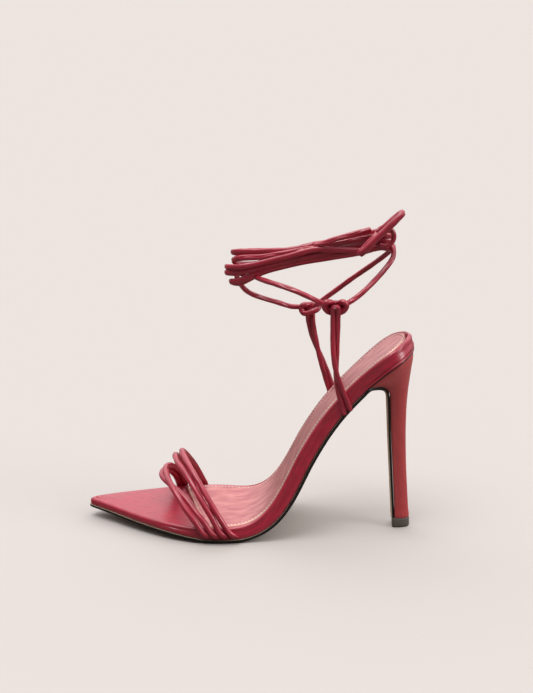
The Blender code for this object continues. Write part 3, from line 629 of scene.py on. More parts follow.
def lineFrames(path, across, closed):
    # Directions sideways and outwards at each point: across where given, else with the least twist.
    if closed:
        tangents = unit(np.roll(path, -1, axis=0) - np.roll(path, 1, axis=0))
    else:
        tangents = unit(np.gradient(path, axis=0))
    if across is not None:
        side = unit(across - tangents * np.sum(across * tangents, axis=1)[:, None])
        return side, np.cross(tangents, side)
    side = np.zeros_like(path)
    held = np.array((0.0, 0.0, 1.0)) if abs(tangents[0, 2]) < 0.9 else np.array((1.0, 0.0, 0.0))
    for i, tangent in enumerate(tangents):
        held = unit(held - tangent * (held @ tangent))
        side[i] = held
    out = np.cross(tangents, side)
    if closed:      # the turn left over at the join is spread along the loop
        final, first = held - tangents[0] * (held @ tangents[0]), side[0]
        left = math.atan2(np.cross(final, first) @ tangents[0], final @ first)
        turn = np.linspace(0, left, len(path))[:, None]
        side, out = side * np.cos(turn) + out * np.sin(turn), out * np.cos(turn) - side * np.sin(turn)
    return side, out


def makeTube(name, path, radius, material, halfWidth=None, halfThick=None, across=None, closed=False,
             crease=0.0, creaseTwist=0.004, roundEnds=(False, False), creaseDepth=None, seed=1):
    # A satin tube along an evenly spaced line. crease is where round it the fold lies at the start.
    count = len(path)
    total = np.linalg.norm(np.diff(path, axis=0), axis=1).sum()
    side, out = lineFrames(path, across, closed)
    if closed:
        turn = np.linspace(0, 2 * np.pi, count, endpoint=False)
        lively = np.sin(turn * tubeSizes["ringWaves"] + seed) * tubeSizes["ringWaveShare"]
    else:
        lively = ripple(seed, count, tubeSizes["waves"], total)
    lively = lively * tubeSizes["waveHeight"]
    width = np.full(count, radius if halfWidth is None else halfWidth) * (1 + lively)
    thick = width.copy() if halfThick is None else np.full(count, halfThick) * (1 - lively)
    steps = distances(path)
    wander = tubeSizes["creaseSwing"] * ripple(seed + 5, count, tubeSizes["creaseWaves"], total)
    folds = crease + creaseTwist * steps + wander
    table = np.hstack([path, side, out, width[:, None], thick[:, None], folds[:, None], steps[:, None]])
    if closed:
        first = table[:1].copy()
        first[0, -1] = steps[-1] + np.linalg.norm(path[0] - path[-1])
        first[0, -2] = table[-1, -2]
        table = np.vstack([table, first])
    for end, wanted in zip((0, -1), roundEnds):
        if wanted:
            table = addRoundEnd(table, end, radius)
    return finishTube(name, table, radius, material, creaseDepth)


def addRoundEnd(table, end, radius):
    # Rows that close an end in a half ball, out past the line's last point.
    edge = table[end]
    direction = unit(table[0, :3] - table[1, :3]) if end == 0 else unit(table[-1, :3] - table[-2, :3])
    angles = np.linspace(0, np.pi / 2, tubeSizes["roundEndSteps"] + 1)[1:]
    rows = []
    for angle in angles:
        row = edge.copy()
        row[:3] += direction * radius * math.sin(angle) * tubeSizes["roundEndLength"]
        row[9:11] *= max(math.cos(angle), 0.0)
        row[12] += radius * angle * (1 if end else -1)
        rows.append(row)
    return np.vstack([rows[::-1], table]) if end == 0 else np.vstack([table, rows])


def finishTube(name, table, radius, material, creaseDepth):
    line = bpy.data.meshes.new(name)
    count = len(table)
    line.from_pydata((table[:, :3] * mm).tolist(), [(i, i + 1) for i in range(count - 1)], [])
    for label, columns in (("centre", table[:, :3] * mm), ("sideways", table[:, 3:6]),
                           ("outwards", table[:, 6:9])):
        line.attributes.new(label, "FLOAT_VECTOR", "POINT").data.foreach_set("vector", columns.ravel())
    for label, column in (("halfWidth", table[:, 9] * mm), ("halfThick", table[:, 10] * mm),
                          ("crease", table[:, 11]), ("along", table[:, 12] * mm)):
        line.attributes.new(label, "FLOAT", "POINT").data.foreach_set("value", column)
    mesh = runNodes(name, line, tubeTree, {
        "Sides": tubeSizes["sides"],
        "Crease Depth": tubeSizes["creaseDepth"] if creaseDepth is None else creaseDepth,
        "Crease Sharpness": tubeSizes["creaseSharpness"],
        "Girth": 2 * math.pi * radius * mm,
        "Material": material,
    })
    closeHoles(mesh)
    return link(bpy.data.objects.new(name, mesh))


def closeHoles(mesh):
    # Open ends get a face, and all faces point outwards.
    work = bmesh.new()
    work.from_mesh(mesh)
    bmesh.ops.remove_doubles(work, verts=work.verts, dist=mm * 0.001)
    bmesh.ops.holes_fill(work, edges=[edge for edge in work.edges if edge.is_boundary], sides=0)
    bmesh.ops.recalc_face_normals(work, faces=work.faces)
    work.to_mesh(mesh)
    work.free()


def laceLine(points, closed=False, step=None):
    step = step or tubeSizes["step"]
    return smoothLine(evenLine(points, step, closed), tubeSizes["softness"], step, closed)


# Cords: the knot at the back of the ankle, its bow and the cut end of the lace

cordSizes = {
    "back_knot": {
        "points": ((85.6, -9.7, 192.4), (87.6, -9.8, 197.6), (91.6, -9.9, 199.9), (95.8, -9.8, 198.4),
                   (97.6, -9.7, 194.4), (96.4, -9.6, 190.4), (92.6, -9.5, 188.2), (88.4, -9.5, 188.6)),
        "radius": 1.5, "far": "object", "lay": "coiled", "crease": 2.2, "ends": (False, False)},
    "bow_loop": {
        "points": ((88.2, -10.8, 197.2), (90.4, -12.8, 199.4), (94.6, -13.4, 203.4), (99.2, -13.2, 207.4),
                   (101.6, -14.8, 209.6), (101.4, -17.2, 209.2), (98.2, -18.8, 206.0),
                   (92.0, -19.2, 199.9), (86.0, -19.2, 193.9), (80.0, -19.0, 187.6), (77.6, -17.4, 185.2),
                   (77.4, -15.0, 185.0), (79.6, -13.4, 187.6), (83.4, -13.2, 191.8), (86.0, -12.6, 194.4),
                   (87.4, -10.8, 195.6)),
        "radius": 2.1, "far": "object", "lay": "loose", "crease": 4.2, "ends": (True, True)},
    "tie_end": {
        "points": ((50.0, -5.8, 187.4), (55.0, -8.6, 189.4), (60.0, -9.3, 191.6), (68.0, -9.3, 194.0),
                   (76.0, -9.2, 196.4), (82.4, -9.0, 198.0)),
        "radius": 1.65, "far": "bare", "lay": "loose", "crease": 1.2, "ends": (True, True)},
}


def makeCords():
    for number, (name, sizes) in enumerate(cordSizes.items()):
        path = evenLine(sizes["points"], tubeSizes["step"])
        piece = makeTube(name, path, sizes["radius"], laceSatin, crease=sizes["crease"],
                         roundEnds=sizes["ends"], seed=30 + number)
        finishPiece(piece, (name,))


makeCords()
print("cords made")


# Ankle wraps, side laces and instep loops

ankleSizes = {
    "places": (2.8, 17.7, 33.2, 48.3, 63.4, 78.1, 90.6),
    "wraps": {      # heights at the places, how far out, the front and back turn, the drop round the far side
        "wrap_a": ((182.8, 183.3, 183.7, 187.0, 190.4, 194.0, 196.6), 4.6, -2.4, 97.2, 3.0),
        "wrap_b": ((178.9, 179.9, 182.7, 185.9, 188.7, 191.6, 194.0), 6.0, -1.8, 98.0, 6.4),
        "wrap_c": ((173.4, 176.6, 181.0, 185.2, 185.0, 184.6, 187.0), 6.8, -6.4, 96.4, 3.0),
        "wrap_d": ((169.8, 173.4, 177.8, 181.0, 184.4, 187.6, 190.4), 5.0, -6.6, 97.8, 3.0),
        "wrap_e": ((164.2, 171.2, 176.0, 179.2, 181.4, 184.0, 187.8), 3.8, -3.8, 97.0, 3.0),
    },
    "laces": {
        "ankle_lace_outer": (
            (3.0, 0.6, 167.4), (10.0, -2.4, 167.2), (17.2, -9.6, 166.0), (25.7, -17.5, 165.2),
            (37.0, -22.6, 162.6), (47.9, -25.4, 158.4), (51.8, -26.6, 156.6), (55.0, -26.6, 154.6),
            (57.2, -24.4, 152.8), (60.0, -22.0, 151.8), (62.35, -21.4, 151.6), (64.8, -22.0, 151.8),
            (66.8, -24.6, 153.0), (68.6, -26.4, 154.8), (71.6, -26.0, 156.8), (77.4, -22.8, 160.6),
            (84.4, -18.6, 166.6), (92.4, -13.6, 174.6), (97.4, -8.6, 181.2), (97.2, -3.0, 187.0)),
        "ankle_lace_inner": (
            (0.4, 0.6, 165.2), (1.6, 3.4, 161.6), (4.0, 8.2, 156.4), (8.2, 13.0, 151.8),
            (16.0, 17.6, 147.6), (25.0, 21.4, 144.0), (33.0, 24.2, 140.6), (36.8, 25.2, 139.8),
            (40.4, 25.8, 139.4), (43.0, 26.6, 138.4), (46.0, 27.0, 138.2), (49.2, 26.4, 139.6),
            (52.2, 25.4, 142.6), (55.4, 24.8, 145.6), (59.6, 24.0, 149.2), (66.6, 22.0, 155.2),
            (74.1, 19.8, 161.5), (81.6, 16.6, 167.7), (89.0, 12.0, 174.4), (94.6, 6.4, 180.6),
            (96.0, 2.4, 184.6), (95.6, 0.4, 187.6)),
    },
    # The turn each lace takes round the top of its instep loop, a closed ring.
    "hitches": {
        "lace_hitch_outer": (
            (55.3, -27.2, 154.2), (56.1, -28.2, 156.6), (58.4, -27.6, 157.0), (60.0, -24.4, 155.4),
            (62.3, -23.0, 154.8), (64.7, -24.4, 155.4), (66.2, -27.6, 157.0), (68.5, -28.2, 156.4),
            (69.0, -27.2, 154.0), (67.6, -26.6, 151.6), (65.2, -24.6, 149.6), (62.3, -23.2, 149.2),
            (59.2, -24.6, 149.6), (56.6, -26.6, 151.6)),
        "lace_hitch_inner": (
            (40.4, 25.2, 139.2), (41.2, 24.2, 141.8), (43.6, 24.6, 141.6), (46.4, 27.4, 141.2),
            (49.8, 27.2, 141.6), (52.0, 25.2, 140.6), (50.8, 23.0, 139.0), (47.2, 22.4, 137.6),
            (43.8, 22.6, 136.2), (41.4, 23.6, 136.6)),
    },
    "hitchRadius": 1.9,
    "hitchStep": 0.9,
    "loopGive": 0.35,          # how freely a loop gives way to the laces, which give way by 1
    "closeness": 0.8,          # how near two strands press, in parts of a diameter
    "wrapHalfHeight": 1.9,     # the laces are pressed flat round the ankle
    "wrapHalfDepth": 1.3,
    "loops": {      # each leg from its end on the wall up to the top of the loop
        "instep_loop_outer": {
            "frontLeg": ((68.6, -22.7, 83.9), (67.2, -22.9, 89.2), (65.7, -23.6, 94.6),
                         (64.3, -24.4, 101.3), (63.2, -25.0, 110.0), (63.3, -25.2, 118.0),
                         (63.5, -25.4, 127.1), (63.8, -25.6, 138.8)),
            "rearLeg": ((72.4, -22.9, 86.6), (70.8, -23.2, 91.0), (68.1, -24.2, 97.2), (65.7, -26.0, 104.4),
                        (63.2, -28.4, 113.0), (61.6, -28.4, 122.2), (61.0, -27.4, 131.0),
                        (60.9, -26.6, 139.0)),
            "bar": ((60.9, -27.2, 149.0), (60.6, -28.4, 152.2), (61.2, -29.4, 154.3), (62.5, -29.7, 154.7),
                    (63.8, -29.4, 154.3), (64.2, -28.4, 152.2), (63.9, -27.0, 148.0)),
        },
        "instep_loop_inner": {
            "frontLeg": ((61.4, 23.4, 75.6), (60.2, 23.8, 81.4), (58.2, 25.2, 87.4), (53.4, 25.8, 103.6),
                         (50.2, 25.8, 117.8), (48.0, 25.4, 131.0)),
            "rearLeg": ((64.6, 23.4, 80.0), (62.2, 24.2, 85.2), (60.1, 26.2, 90.4), (54.4, 28.6, 104.2),
                        (48.4, 27.8, 118.0), (45.0, 26.6, 131.0)),
            "bar": ((45.0, 26.2, 135.4), (45.0, 28.0, 138.6), (45.9, 28.8, 139.8), (47.2, 28.4, 139.4),
                    (47.9, 26.6, 135.8)),
        },
    },
    "pressed": (1.15, 1.25),    # half thickness of a loop's last two points, flat on the wall
    "loopAcross": (0.97, 0.0, 0.24),
}
strapSizes = {
    "straps": {     # where the outer and inner ends are lasted in, and the free points between
        "toe_strap_front_a": (-16.0, -39.2, (
            (-25.5, -37.0, 16.4), (-30.4, -34.2, 22.1), (-35.0, -29.6, 27.4), (-39.2, -23.6, 31.4),
            (-43.4, -15.0, 34.6), (-46.6, -2.0, 36.4), (-46.8, 6.0, 36.0), (-45.0, 14.0, 33.6),
            (-42.2, 26.0, 26.4), (-40.4, 34.5, 18.2))),
        "toe_strap_front_b": (-10.6, -42.6, (
            (-20.1, -36.9, 16.4), (-25.3, -33.0, 21.4), (-30.4, -27.6, 26.0), (-37.0, -20.8, 29.4),
            (-42.6, -14.0, 31.4), (-48.6, -4.0, 32.8), (-49.4, 6.0, 32.6), (-47.7, 14.0, 30.6),
            (-45.0, 25.5, 24.2), (-42.9, 34.0, 16.8))),
        "toe_strap_rear_a": (-5.2, -33.6, (
            (-13.2, -37.1, 16.7), (-17.0, -35.2, 22.6), (-20.9, -32.4, 28.2), (-24.9, -28.4, 33.4),
            (-28.9, -23.0, 37.8), (-33.7, -15.0, 41.6), (-38.6, -5.0, 43.4), (-41.2, 7.5, 43.2),
            (-40.4, 20.5, 37.0), (-36.0, 34.5, 22.8))),
        "toe_strap_rear_b": (0.6, -25.4, (
            (-8.5, -37.0, 16.8), (-12.4, -35.4, 22.8), (-16.1, -32.8, 28.4), (-20.0, -29.4, 33.8),
            (-24.0, -24.6, 38.6), (-28.4, -17.6, 43.0), (-34.0, -4.8, 46.4), (-36.8, 8.0, 46.2),
            (-34.6, 21.0, 38.2), (-31.2, 31.0, 28.4), (-27.9, 37.2, 19.0))),
    },
    "closeness": 0.96,
    "leanOuter": -5.0,
    "leanInner": 1.0,
    "gap": 0.3,
    "wallLean": 0.5,
}


def lastedEnd(side, x, radius, lean):
    # Rows of place, half thickness and flat direction, from under the wall up past its rim.
    s = last.sAt(x)
    sign = -1.0 if side == "outer" else 1.0
    tuck = tubeSizes["tuckHalfThick"]
    low = -last.wall(s) + 0.35 + tuck
    gap = strapSizes["gap"]
    rows = []
    for out, height, part, thick in (
        (-6.0, low, 0.0, tuck), (-2.2, low, 0.0, tuck), (1.3, low + 0.5, 0.05, tuck + 0.1),
        (gap + 2.0, low + 2.4, 0.3, 1.4), (gap + 0.25 + radius, -1.6, 0.8, radius),
    ):
        at = s + lean * part
        y = last.edge(side, at) + sign * (out + strapSizes["wallLean"] * (1 - part) * 0.6)
        along = unit(last.place(at + 1.0, 0.0, height) - last.place(at - 1.0, 0.0, height))
        rows.append((*last.place(at, y, height), thick, *along))
    return rows


def loopRows(design):
    radius = tubeSizes["laceRadius"]
    pressed = ankleSizes["pressed"]
    rows = [(*p, radius, *ankleSizes["loopAcross"])
            for p in design["rearLeg"] + design["bar"] + design["frontLeg"][::-1]]
    for i, thick in enumerate(pressed):
        for end in (i, -1 - i):
            rows[end] = (*rows[end][:3], thick, *rows[end][4:])
    return rows


def strapRows(design):
    radius = tubeSizes["strapRadius"]
    outerX, innerX, free = design
    start = lastedEnd("outer", outerX, radius, strapSizes["leanOuter"])
    finish = lastedEnd("inner", innerX, radius, strapSizes["leanInner"])[::-1]
    first, final, crown = np.array(start[0][:3]), np.array(finish[-1][:3]), np.array(free[len(free) // 2])
    across = np.cross(final - first, first - crown)
    across = across * np.sign(across[0]) / np.linalg.norm(across)
    return start + [(*p, radius, *across) for p in free] + finish


def wrapPoints(heights, depth, front, back, drop):
    near = [(x, -depth, z) for x, z in zip(ankleSizes["places"], heights)]
    far = [(x, depth, z - drop) for x, z in zip(ankleSizes["places"], heights)][::-1]
    return near + [(back, 0.0, heights[-1] - drop / 2)] + far + [(front, 0.0, heights[0] - drop / 2)]


settleSizes = {
    "skip": 6,              # neighbours along a strand that don't push each other
    "mostPush": 0.6,
    "depthFirst": 3.5,      # strands move apart in depth rather than in height
    "gain": 1.4,
    "softness": 1.5,
    "easing": 0.98,
}


def settle(strands, reach, rounds=40):
    # Strands that press into each other move apart until they touch. Each is its points,
    # whether it is closed, and how freely it gives way.
    skip = settleSizes["skip"]
    whole = np.vstack([points for points, _, _ in strands])
    owner = np.concatenate([np.full(len(points), i) for i, (points, _, _) in enumerate(strands)])
    order = np.concatenate([np.arange(len(points)) for points, _, _ in strands])
    gives = np.concatenate([np.full(len(points), give) for points, _, give in strands])
    near = (owner[:, None] == owner) & (np.abs(order[:, None] - order) < skip)
    for i, (points, closed, _) in enumerate(strands):
        if closed:
            same = (owner[:, None] == i) & (owner == i)
            near |= same & (np.abs(order[:, None] - order) > len(points) - skip)
    start = whole.copy()
    for _ in range(rounds):
        apart = whole[:, None, :] - whole[None, :, :]
        distance = np.linalg.norm(apart, axis=2) + near * 1e3 + 1e-6
        push = np.clip(reach - distance, 0, settleSizes["mostPush"])
        apart = apart * np.array((1.0, settleSizes["depthFirst"], 1.0))
        apart = apart / (np.linalg.norm(apart, axis=2, keepdims=True) + 1e-6)
        share = gives[:, None] / (gives[:, None] + gives[None, :] + 1e-6)
        move = (apart * (push * share)[:, :, None]).sum(1)
        busy = np.maximum(1, (push > 0).sum(1))[:, None]
        whole = whole + move / busy * settleSizes["gain"]
        for i, (points, closed, give) in enumerate(strands):
            shift = whole[owner == i] - start[owner == i]
            if give:
                shift = smoothLine(shift, settleSizes["softness"], tubeSizes["step"], closed)
                shift = shift * settleSizes["easing"]
            if not closed:
                shift[[0, -1]] = 0
            whole[owner == i] = start[owner == i] + shift
    return [whole[owner == i] for i in range(len(strands))]


def makeAnkle():
    radius = tubeSizes["laceRadius"]
    names, strands, tables = [], [], {}
    for name, design in ankleSizes["wraps"].items():
        names.append(name)
        strands.append((laceLine(wrapPoints(*design), closed=True), True, 1.0))
    for name, points in ankleSizes["laces"].items():
        names.append(name)
        strands.append((laceLine(points), False, 1.0))
    for name, design in ankleSizes["loops"].items():
        names.append(name)
        tables[name] = laceLine(loopRows(design))
        strands.append((tables[name][:, :3], False, ankleSizes["loopGive"]))
    for name, points in ankleSizes["hitches"].items():
        names.append(name)
        strands.append((laceLine(points, closed=True, step=ankleSizes["hitchStep"]), True, 0.0))
    order = len(names)
    for name, sizes in cordSizes.items():
        strands.append((evenLine(sizes["points"], tubeSizes["step"]), False, 0.0))
    settled = settle(strands, 2 * radius * ankleSizes["closeness"])[:order]
    for number, (name, line) in enumerate(zip(names, settled)):
        loop = name in tables
        if loop:
            table = tables[name]
            thick = np.clip(table[:, 3], tubeSizes["tuckHalfThick"], radius)
            piece = makeTube(name, line, radius, laceSatin, halfThick=thick, across=table[:, 4:7],
                             crease=1.0, seed=number, roundEnds=(True, True))
            finishPiece(piece, (name,))
        else:
            wrap, hitch = name in ankleSizes["wraps"], name in ankleSizes["hitches"]
            half = ankleSizes["wrapHalfHeight"] if wrap else ankleSizes["hitchRadius"] if hitch else radius
            piece = makeTube(name, line, radius, laceSatin, halfWidth=half, closed=wrap or hitch,
                             halfThick=ankleSizes["wrapHalfDepth"] if wrap else None, crease=number * 1.3,
                             creaseTwist=0.01 if name in ankleSizes["laces"] else 0.0, seed=number)
            finishPiece(piece, ("ankle_tie",))


def makeStraps():
    radius = tubeSizes["strapRadius"]
    replaced = {"toe_strap_front_a": "toe_straps_front", "toe_strap_front_b": "toe_straps_front"}
    tables = {name: laceLine(strapRows(design)) for name, design in strapSizes["straps"].items()}
    reach = 2 * radius * strapSizes["closeness"]
    settled = settle([(table[:, :3], False, 1.0) for table in tables.values()], reach, rounds=20)
    for number, ((name, table), line) in enumerate(zip(tables.items(), settled)):
        thick = np.clip(table[:, 3], tubeSizes["tuckHalfThick"], radius)
        piece = makeTube(name, line, radius, laceSatin, halfWidth=radius + (radius - thick) * 0.5,
                         halfThick=thick, across=table[:, 4:7], crease=0.4 + number, seed=40 + number)
        finishPiece(piece, (replaced.get(name, name),))


makeAnkle()
makeStraps()
print("laces, loops and straps made")


# The heel's sizes come before the footbed, whose seat follows them.

heelSizes = {
    "rows": (       # from the tread up: front edge (x, z), back (x, z), half width
        (103.0, 6.6, 112.0, 6.6, 4.6), (101.8, 25.0, 110.7, 25.0, 4.4), (100.5, 45.0, 109.4, 45.0, 4.7),
        (99.2, 66.0, 108.7, 66.0, 5.7), (98.4, 82.0, 108.8, 82.0, 7.2), (97.7, 91.0, 109.4, 92.5, 9.0),
        (95.6, 96.2, 110.3, 101.0, 11.8), (91.8, 98.6, 111.2, 108.5, 15.2), (87.6, 99.2, 112.0, 114.5, 18.4),
    ),
    "shape": (      # a section in parts of its depth and half width
        (0.0, 0.0), (0.0, 0.45), (0.0, 0.86), (0.07, 1.0), (0.28, 1.0), (0.5, 0.95), (0.7, 0.82),
        (0.86, 0.6), (0.96, 0.32), (1.0, 0.0),
    ),
    "seat": 75.0,
    "crownAhead": 3.0,
    "crownBack": 2.4,
    "crownInset": 0.6,
    "crownFullness": 1.2,
    "crownFront": 0.07,     # the part of the depth over which the crown grows full
    "crownTuck": (0.8, 0.1),    # how far the last two rings are drawn in under the footbed
    "gap": 0.3,
    "sectionStep": 0.035,
    "rowStep": 1.5,
    "gatherHeight": 3.0,
    "gatherDepth": 0.16,
    "gathers": 14,
    "gatherSwing": 1.5,
    "gatherTwist": 0.25,
    "bulge": 0.3,
    "bulgeAt": (2.0, 2.2),  # its middle and reach above the lift
    "liftHeight": 6.2,
    "liftAhead": 1.5,
    "liftRows": (   # height, and how far the lift stands proud of the heel there
        (0.0, -0.2), (0.12, 0.1), (0.5, 0.42), (1.2, 0.5), (5.2, 0.42), (5.9, 0.3), (6.15, 0.05), (6.2, -0.4),
    ),
}


# Footbed: satin lasted over the insole, with a rolled rim, and a recess for the sock

footbedSizes = {
    "stations": 290,        # along each side of the outline
    "columns": 26,
    "roll": 1.7,
    "toeRoll": 2.4,
    "toeFrom": 30.0,
    "toeFade": 45.0,
    "rollSteps": 7,
    "pinch": 0.35,          # the wall draws in under the rim
    "lean": 0.5,
    "leanAbove": 0.8,       # the part of the lean above the wall's foot
    "footRound": ((0.5, 0.0, 0.0), (0.1, 0.6, 0.12), (0.0, 1.0, 0.5)),   # inset, part of the lean, height
    "seatFade": 10.0,
    "backDraw": 2.0,        # the wall leans in behind the heel
    "backReach": 16.0,
    "toeCrown": 0.6,
    "recess": 1.5,
    "recessAhead": 4.0,
    "recessRamp": 3.0,
    "topInset": 3.2,
    "underInset": 1.6,
    "seatGroove": (     # height over the wall's foot, and how far the satin is drawn in there
        (1.0, 0.0), (1.5, 0.12), (1.75, 0.55), (1.95, 0.5), (2.2, 0.0), (2.8, -0.05),
    ),
    "dish": 0.7,
}
sockSizes = {
    "front": -27.0,
    "slant": -0.27,
    "slantFade": 45.0,
    "rim": 2.9,
    "backGap": 3.2,
    "backRun": 3.0,
    "thick": 1.0,
    "top": 0.1,             # how far the sock's base lies under the rim
    "rise": 0.35,           # the part of its thickness that stands above that
    "sunk": 0.9,            # and the part that lies in the recess, glue and all
    "dishPart": 0.9,        # the sock fills a little of the footbed's dish
    "creaseInset": 1.2,     # how far from the edge the creases begin
    "creaseFade": 4.0,
    "columns": 56,
    "step": 1.2,
    "edgeRound": 0.7,
    "stitchInset": 2.0,
    "stitchDepth": 0.22,
    "grooveReach": 0.7,
    "stitchSpacing": 2.3,
    "stitchLength": 1.6,
    "stitchHalfWidth": 0.34,
    "stitchRise": 0.35,     # the part of it that a stitch stands up
    "stitchDish": 0.25,     # the part of the footbed's dish at the stitches
    "paintedHighlightEdge": 0.8,        # painted highlight: the foil is paler along the sock's rounded edge
}
# Creases of the sock where the last bends: place along, middle, reach along and across, slant and depth.
sockCreases = (
    (152.0, -12.0, 2.2, 9.0, 0.5, -0.35),
    (147.5, -6.0, 2.0, 12.0, 0.6, 0.3),
    (142.0, 4.0, 2.4, 13.0, 0.5, -0.3),
    (135.0, 0.0, 2.6, 15.0, 0.45, 0.25),
    (158.0, 6.0, 2.2, 10.0, 0.4, -0.22),
)


def sockFront(y):
    return sockSizes["front"] + sockSizes["slant"] * y


def sockEnd():
    return last.length - sockSizes["rim"] - sockSizes["backGap"] + sockSizes["backRun"]


def recessAt(s, y):
    ahead = s - last.sAt(sockFront(y)) + footbedSizes["recessAhead"]
    return footbedSizes["recess"] * smoothstep(ahead / footbedSizes["recessRamp"])


def toeShare(s):
    # From 1 at the toe to 0 where the toe's form has gone over into the ball's.
    return 1 - smoothstep((s - footbedSizes["toeFrom"]) / footbedSizes["toeFade"])


def cupped(part):
    # How deep the cup is across the foot: part runs from 0 at one edge to 1 at the other.
    return np.sin(np.pi * part)[None, :] ** 0.7


def drawnIn(s):
    # How far the wall is drawn in under the rim at the back of the seat.
    ahead = s - last.length + footbedSizes["backReach"]
    return footbedSizes["backDraw"] * smoothstep(ahead / footbedSizes["backReach"])


def makeFootbed():
    count = footbedSizes["stations"]
    outline = last.outline(count)
    inward = inwards(outline)
    around = distances(np.vstack([outline, outline[:1]]))
    s0 = outline[:, 0]
    wall = last.wall(s0)
    toe = toeShare(s0)
    roll = footbedSizes["roll"] + (footbedSizes["toeRoll"] - footbedSizes["roll"]) * toe
    roll = np.minimum(roll, wall * 0.55)
    lean = footbedSizes["lean"]
    rings = []

    def addRing(inset, height):
        where = outline + inward * np.asarray(inset)[..., None]
        rings.append(last.place(where[:, 0], where[:, 1], height))

    back = drawnIn(s0)
    seated = smoothstep((s0 - last.sAt(heelSizes["seat"])) / footbedSizes["seatFade"])
    addRing(footbedSizes["underInset"] + back, -wall)
    for inset, share, height in footbedSizes["footRound"]:
        addRing(inset - lean * share + back, -wall + height)
    lean = lean * footbedSizes["leanAbove"]
    for height, inset in footbedSizes["seatGroove"]:
        addRing(-lean + back * (1 - height / 6) + inset * seated, -wall + height)
    low, high = -wall + footbedSizes["seatGroove"][-1][0], -roll
    for part in (0.25, 0.5, 0.75):
        inset = -lean * (1 - part) + footbedSizes["pinch"] * math.sin(math.pi * part)
        addRing(inset + back * (1 - part) * 0.5, low + (high - low) * part)
    for angle in np.linspace(0, np.pi / 2, footbedSizes["rollSteps"]):
        addRing(roll * (1 - math.cos(angle)), -roll * (1 - math.sin(angle)))
    where = outline + inward * footbedSizes["topInset"]
    topHeight = footbedTop(where[:, 0], where[:, 1], 0.0, toe)
    rings.append(last.place(where[:, 0], where[:, 1], topHeight))
    rings = np.array(rings)
    rings = np.concatenate([rings, rings[:, :1]], axis=1)
    climb = np.concatenate([[0], np.cumsum(np.linalg.norm(np.diff(rings, axis=0), axis=2).mean(1))])
    places = np.stack(np.broadcast_arrays(climb[:, None], around[None, :]), -1)
    sheets = [(rings, places, 0)]

    half = len(outline) // 2
    pairs = np.arange(half + 1)
    outer, inner = where[pairs], where[(-pairs) % len(outline)]
    columns = np.linspace(0, 1, footbedSizes["columns"])
    grid = outer[:, None, :] + (inner - outer)[:, None, :] * columns[None, :, None]
    share = cupped(columns)
    heights = footbedTop(grid[..., 0], grid[..., 1], share, toeShare(grid[..., 0]))
    top = last.place(grid[..., 0], grid[..., 1], heights)
    top[:, 0], top[:, -1] = rings[-1, pairs], rings[-1, (-pairs) % len(outline)]
    sheets.append((top, np.stack([grid[..., 1], grid[..., 0]], -1), 0))
    under = outline + inward * footbedSizes["underInset"]
    outer, inner = under[pairs], under[(-pairs) % len(outline)]
    grid = outer[:, None, :] + (inner - outer)[:, None, :] * columns[None, ::6, None]
    below = last.place(grid[..., 0], grid[..., 1], -last.wall(grid[..., 0]))
    below[:, 0], below[:, -1] = rings[0, pairs], rings[0, (-pairs) % len(outline)]
    sheets.append((below, np.stack([grid[..., 1], grid[..., 0]], -1), 0))
    finishPiece(surface("footbed_satin", sheets, [wrapSatin]), ("footbed",))


def footbedTop(s, y, share, toe):
    # share runs from 0 at the edge to 1 in the middle.
    crown = footbedSizes["toeCrown"] * toe * share
    dish = footbedSizes["dish"] * (1 - toe) * share
    return crown - dish - recessAt(s, y)


def sockHeight(s, y, fromEdge, share):
    # The sock's top: cupped, rounded at its edge, drawn down at the stitches, and creased at the bend.
    top = -sockSizes["top"] + sockSizes["thick"] * sockSizes["rise"]
    inside = np.clip(fromEdge / sockSizes["edgeRound"], 0, 1)
    rounded = sockSizes["edgeRound"] * (1 - np.sqrt(inside * (2 - inside)))
    groove = sockSizes["stitchDepth"] * bump(fromEdge, sockSizes["stitchInset"], sockSizes["grooveReach"])
    folds = 0.0
    for middleS, middleY, alongReach, acrossReach, slant, depth in sockCreases:
        across = y - middleY
        along = s - middleS - slant * across
        folds = folds + depth * bump(along, 0, alongReach) * bump(across, 0, acrossReach)
    folds = folds * smoothstep((fromEdge - sockSizes["creaseInset"]) / sockSizes["creaseFade"])
    return top - rounded - groove - footbedSizes["dish"] * share * sockSizes["dishPart"] + folds


def sockGrid():
    start, end = last.sAt(sockSizes["front"]), sockEnd()
    rows = np.arange(start, end, sockSizes["step"])
    part = np.linspace(0, 1, sockSizes["columns"])
    part = 0.5 - 0.5 * np.cos(np.pi * (0.12 + 0.76 * part)) / math.cos(np.pi * 0.12)  # denser at the edges
    outline = last.outline(footbedSizes["stations"])
    edge = outline + inwards(outline) * sockSizes["rim"]
    half = len(edge) // 2
    outerS, outerY = edge[:half + 1, 0], edge[:half + 1, 1]
    innerS, innerY = edge[half:, 0][::-1], edge[half:, 1][::-1]
    sGrid, yGrid, edgeGrid = [], [], []
    for s in rows:
        fade = 1 - smoothstep((s - start) / sockSizes["slantFade"])
        low, high = np.interp(s, outerS, outerY), np.interp(s, innerS, innerY)
        y = low + (high - low) * part
        shifted = s + (last.sAt(sockFront(y)) - start) * fade
        low, high = np.interp(shifted, outerS, outerY), np.interp(shifted, innerS, innerY)
        y = low + (high - low) * part
        sGrid.append(shifted)
        yGrid.append(y)
        ahead = shifted - last.sAt(sockFront(y))
        behind = end - shifted
        edgeGrid.append(np.minimum(np.minimum(y - low, high - y), np.minimum(ahead, behind)))
    return np.array(sGrid), np.array(yGrid), np.array(edgeGrid), part


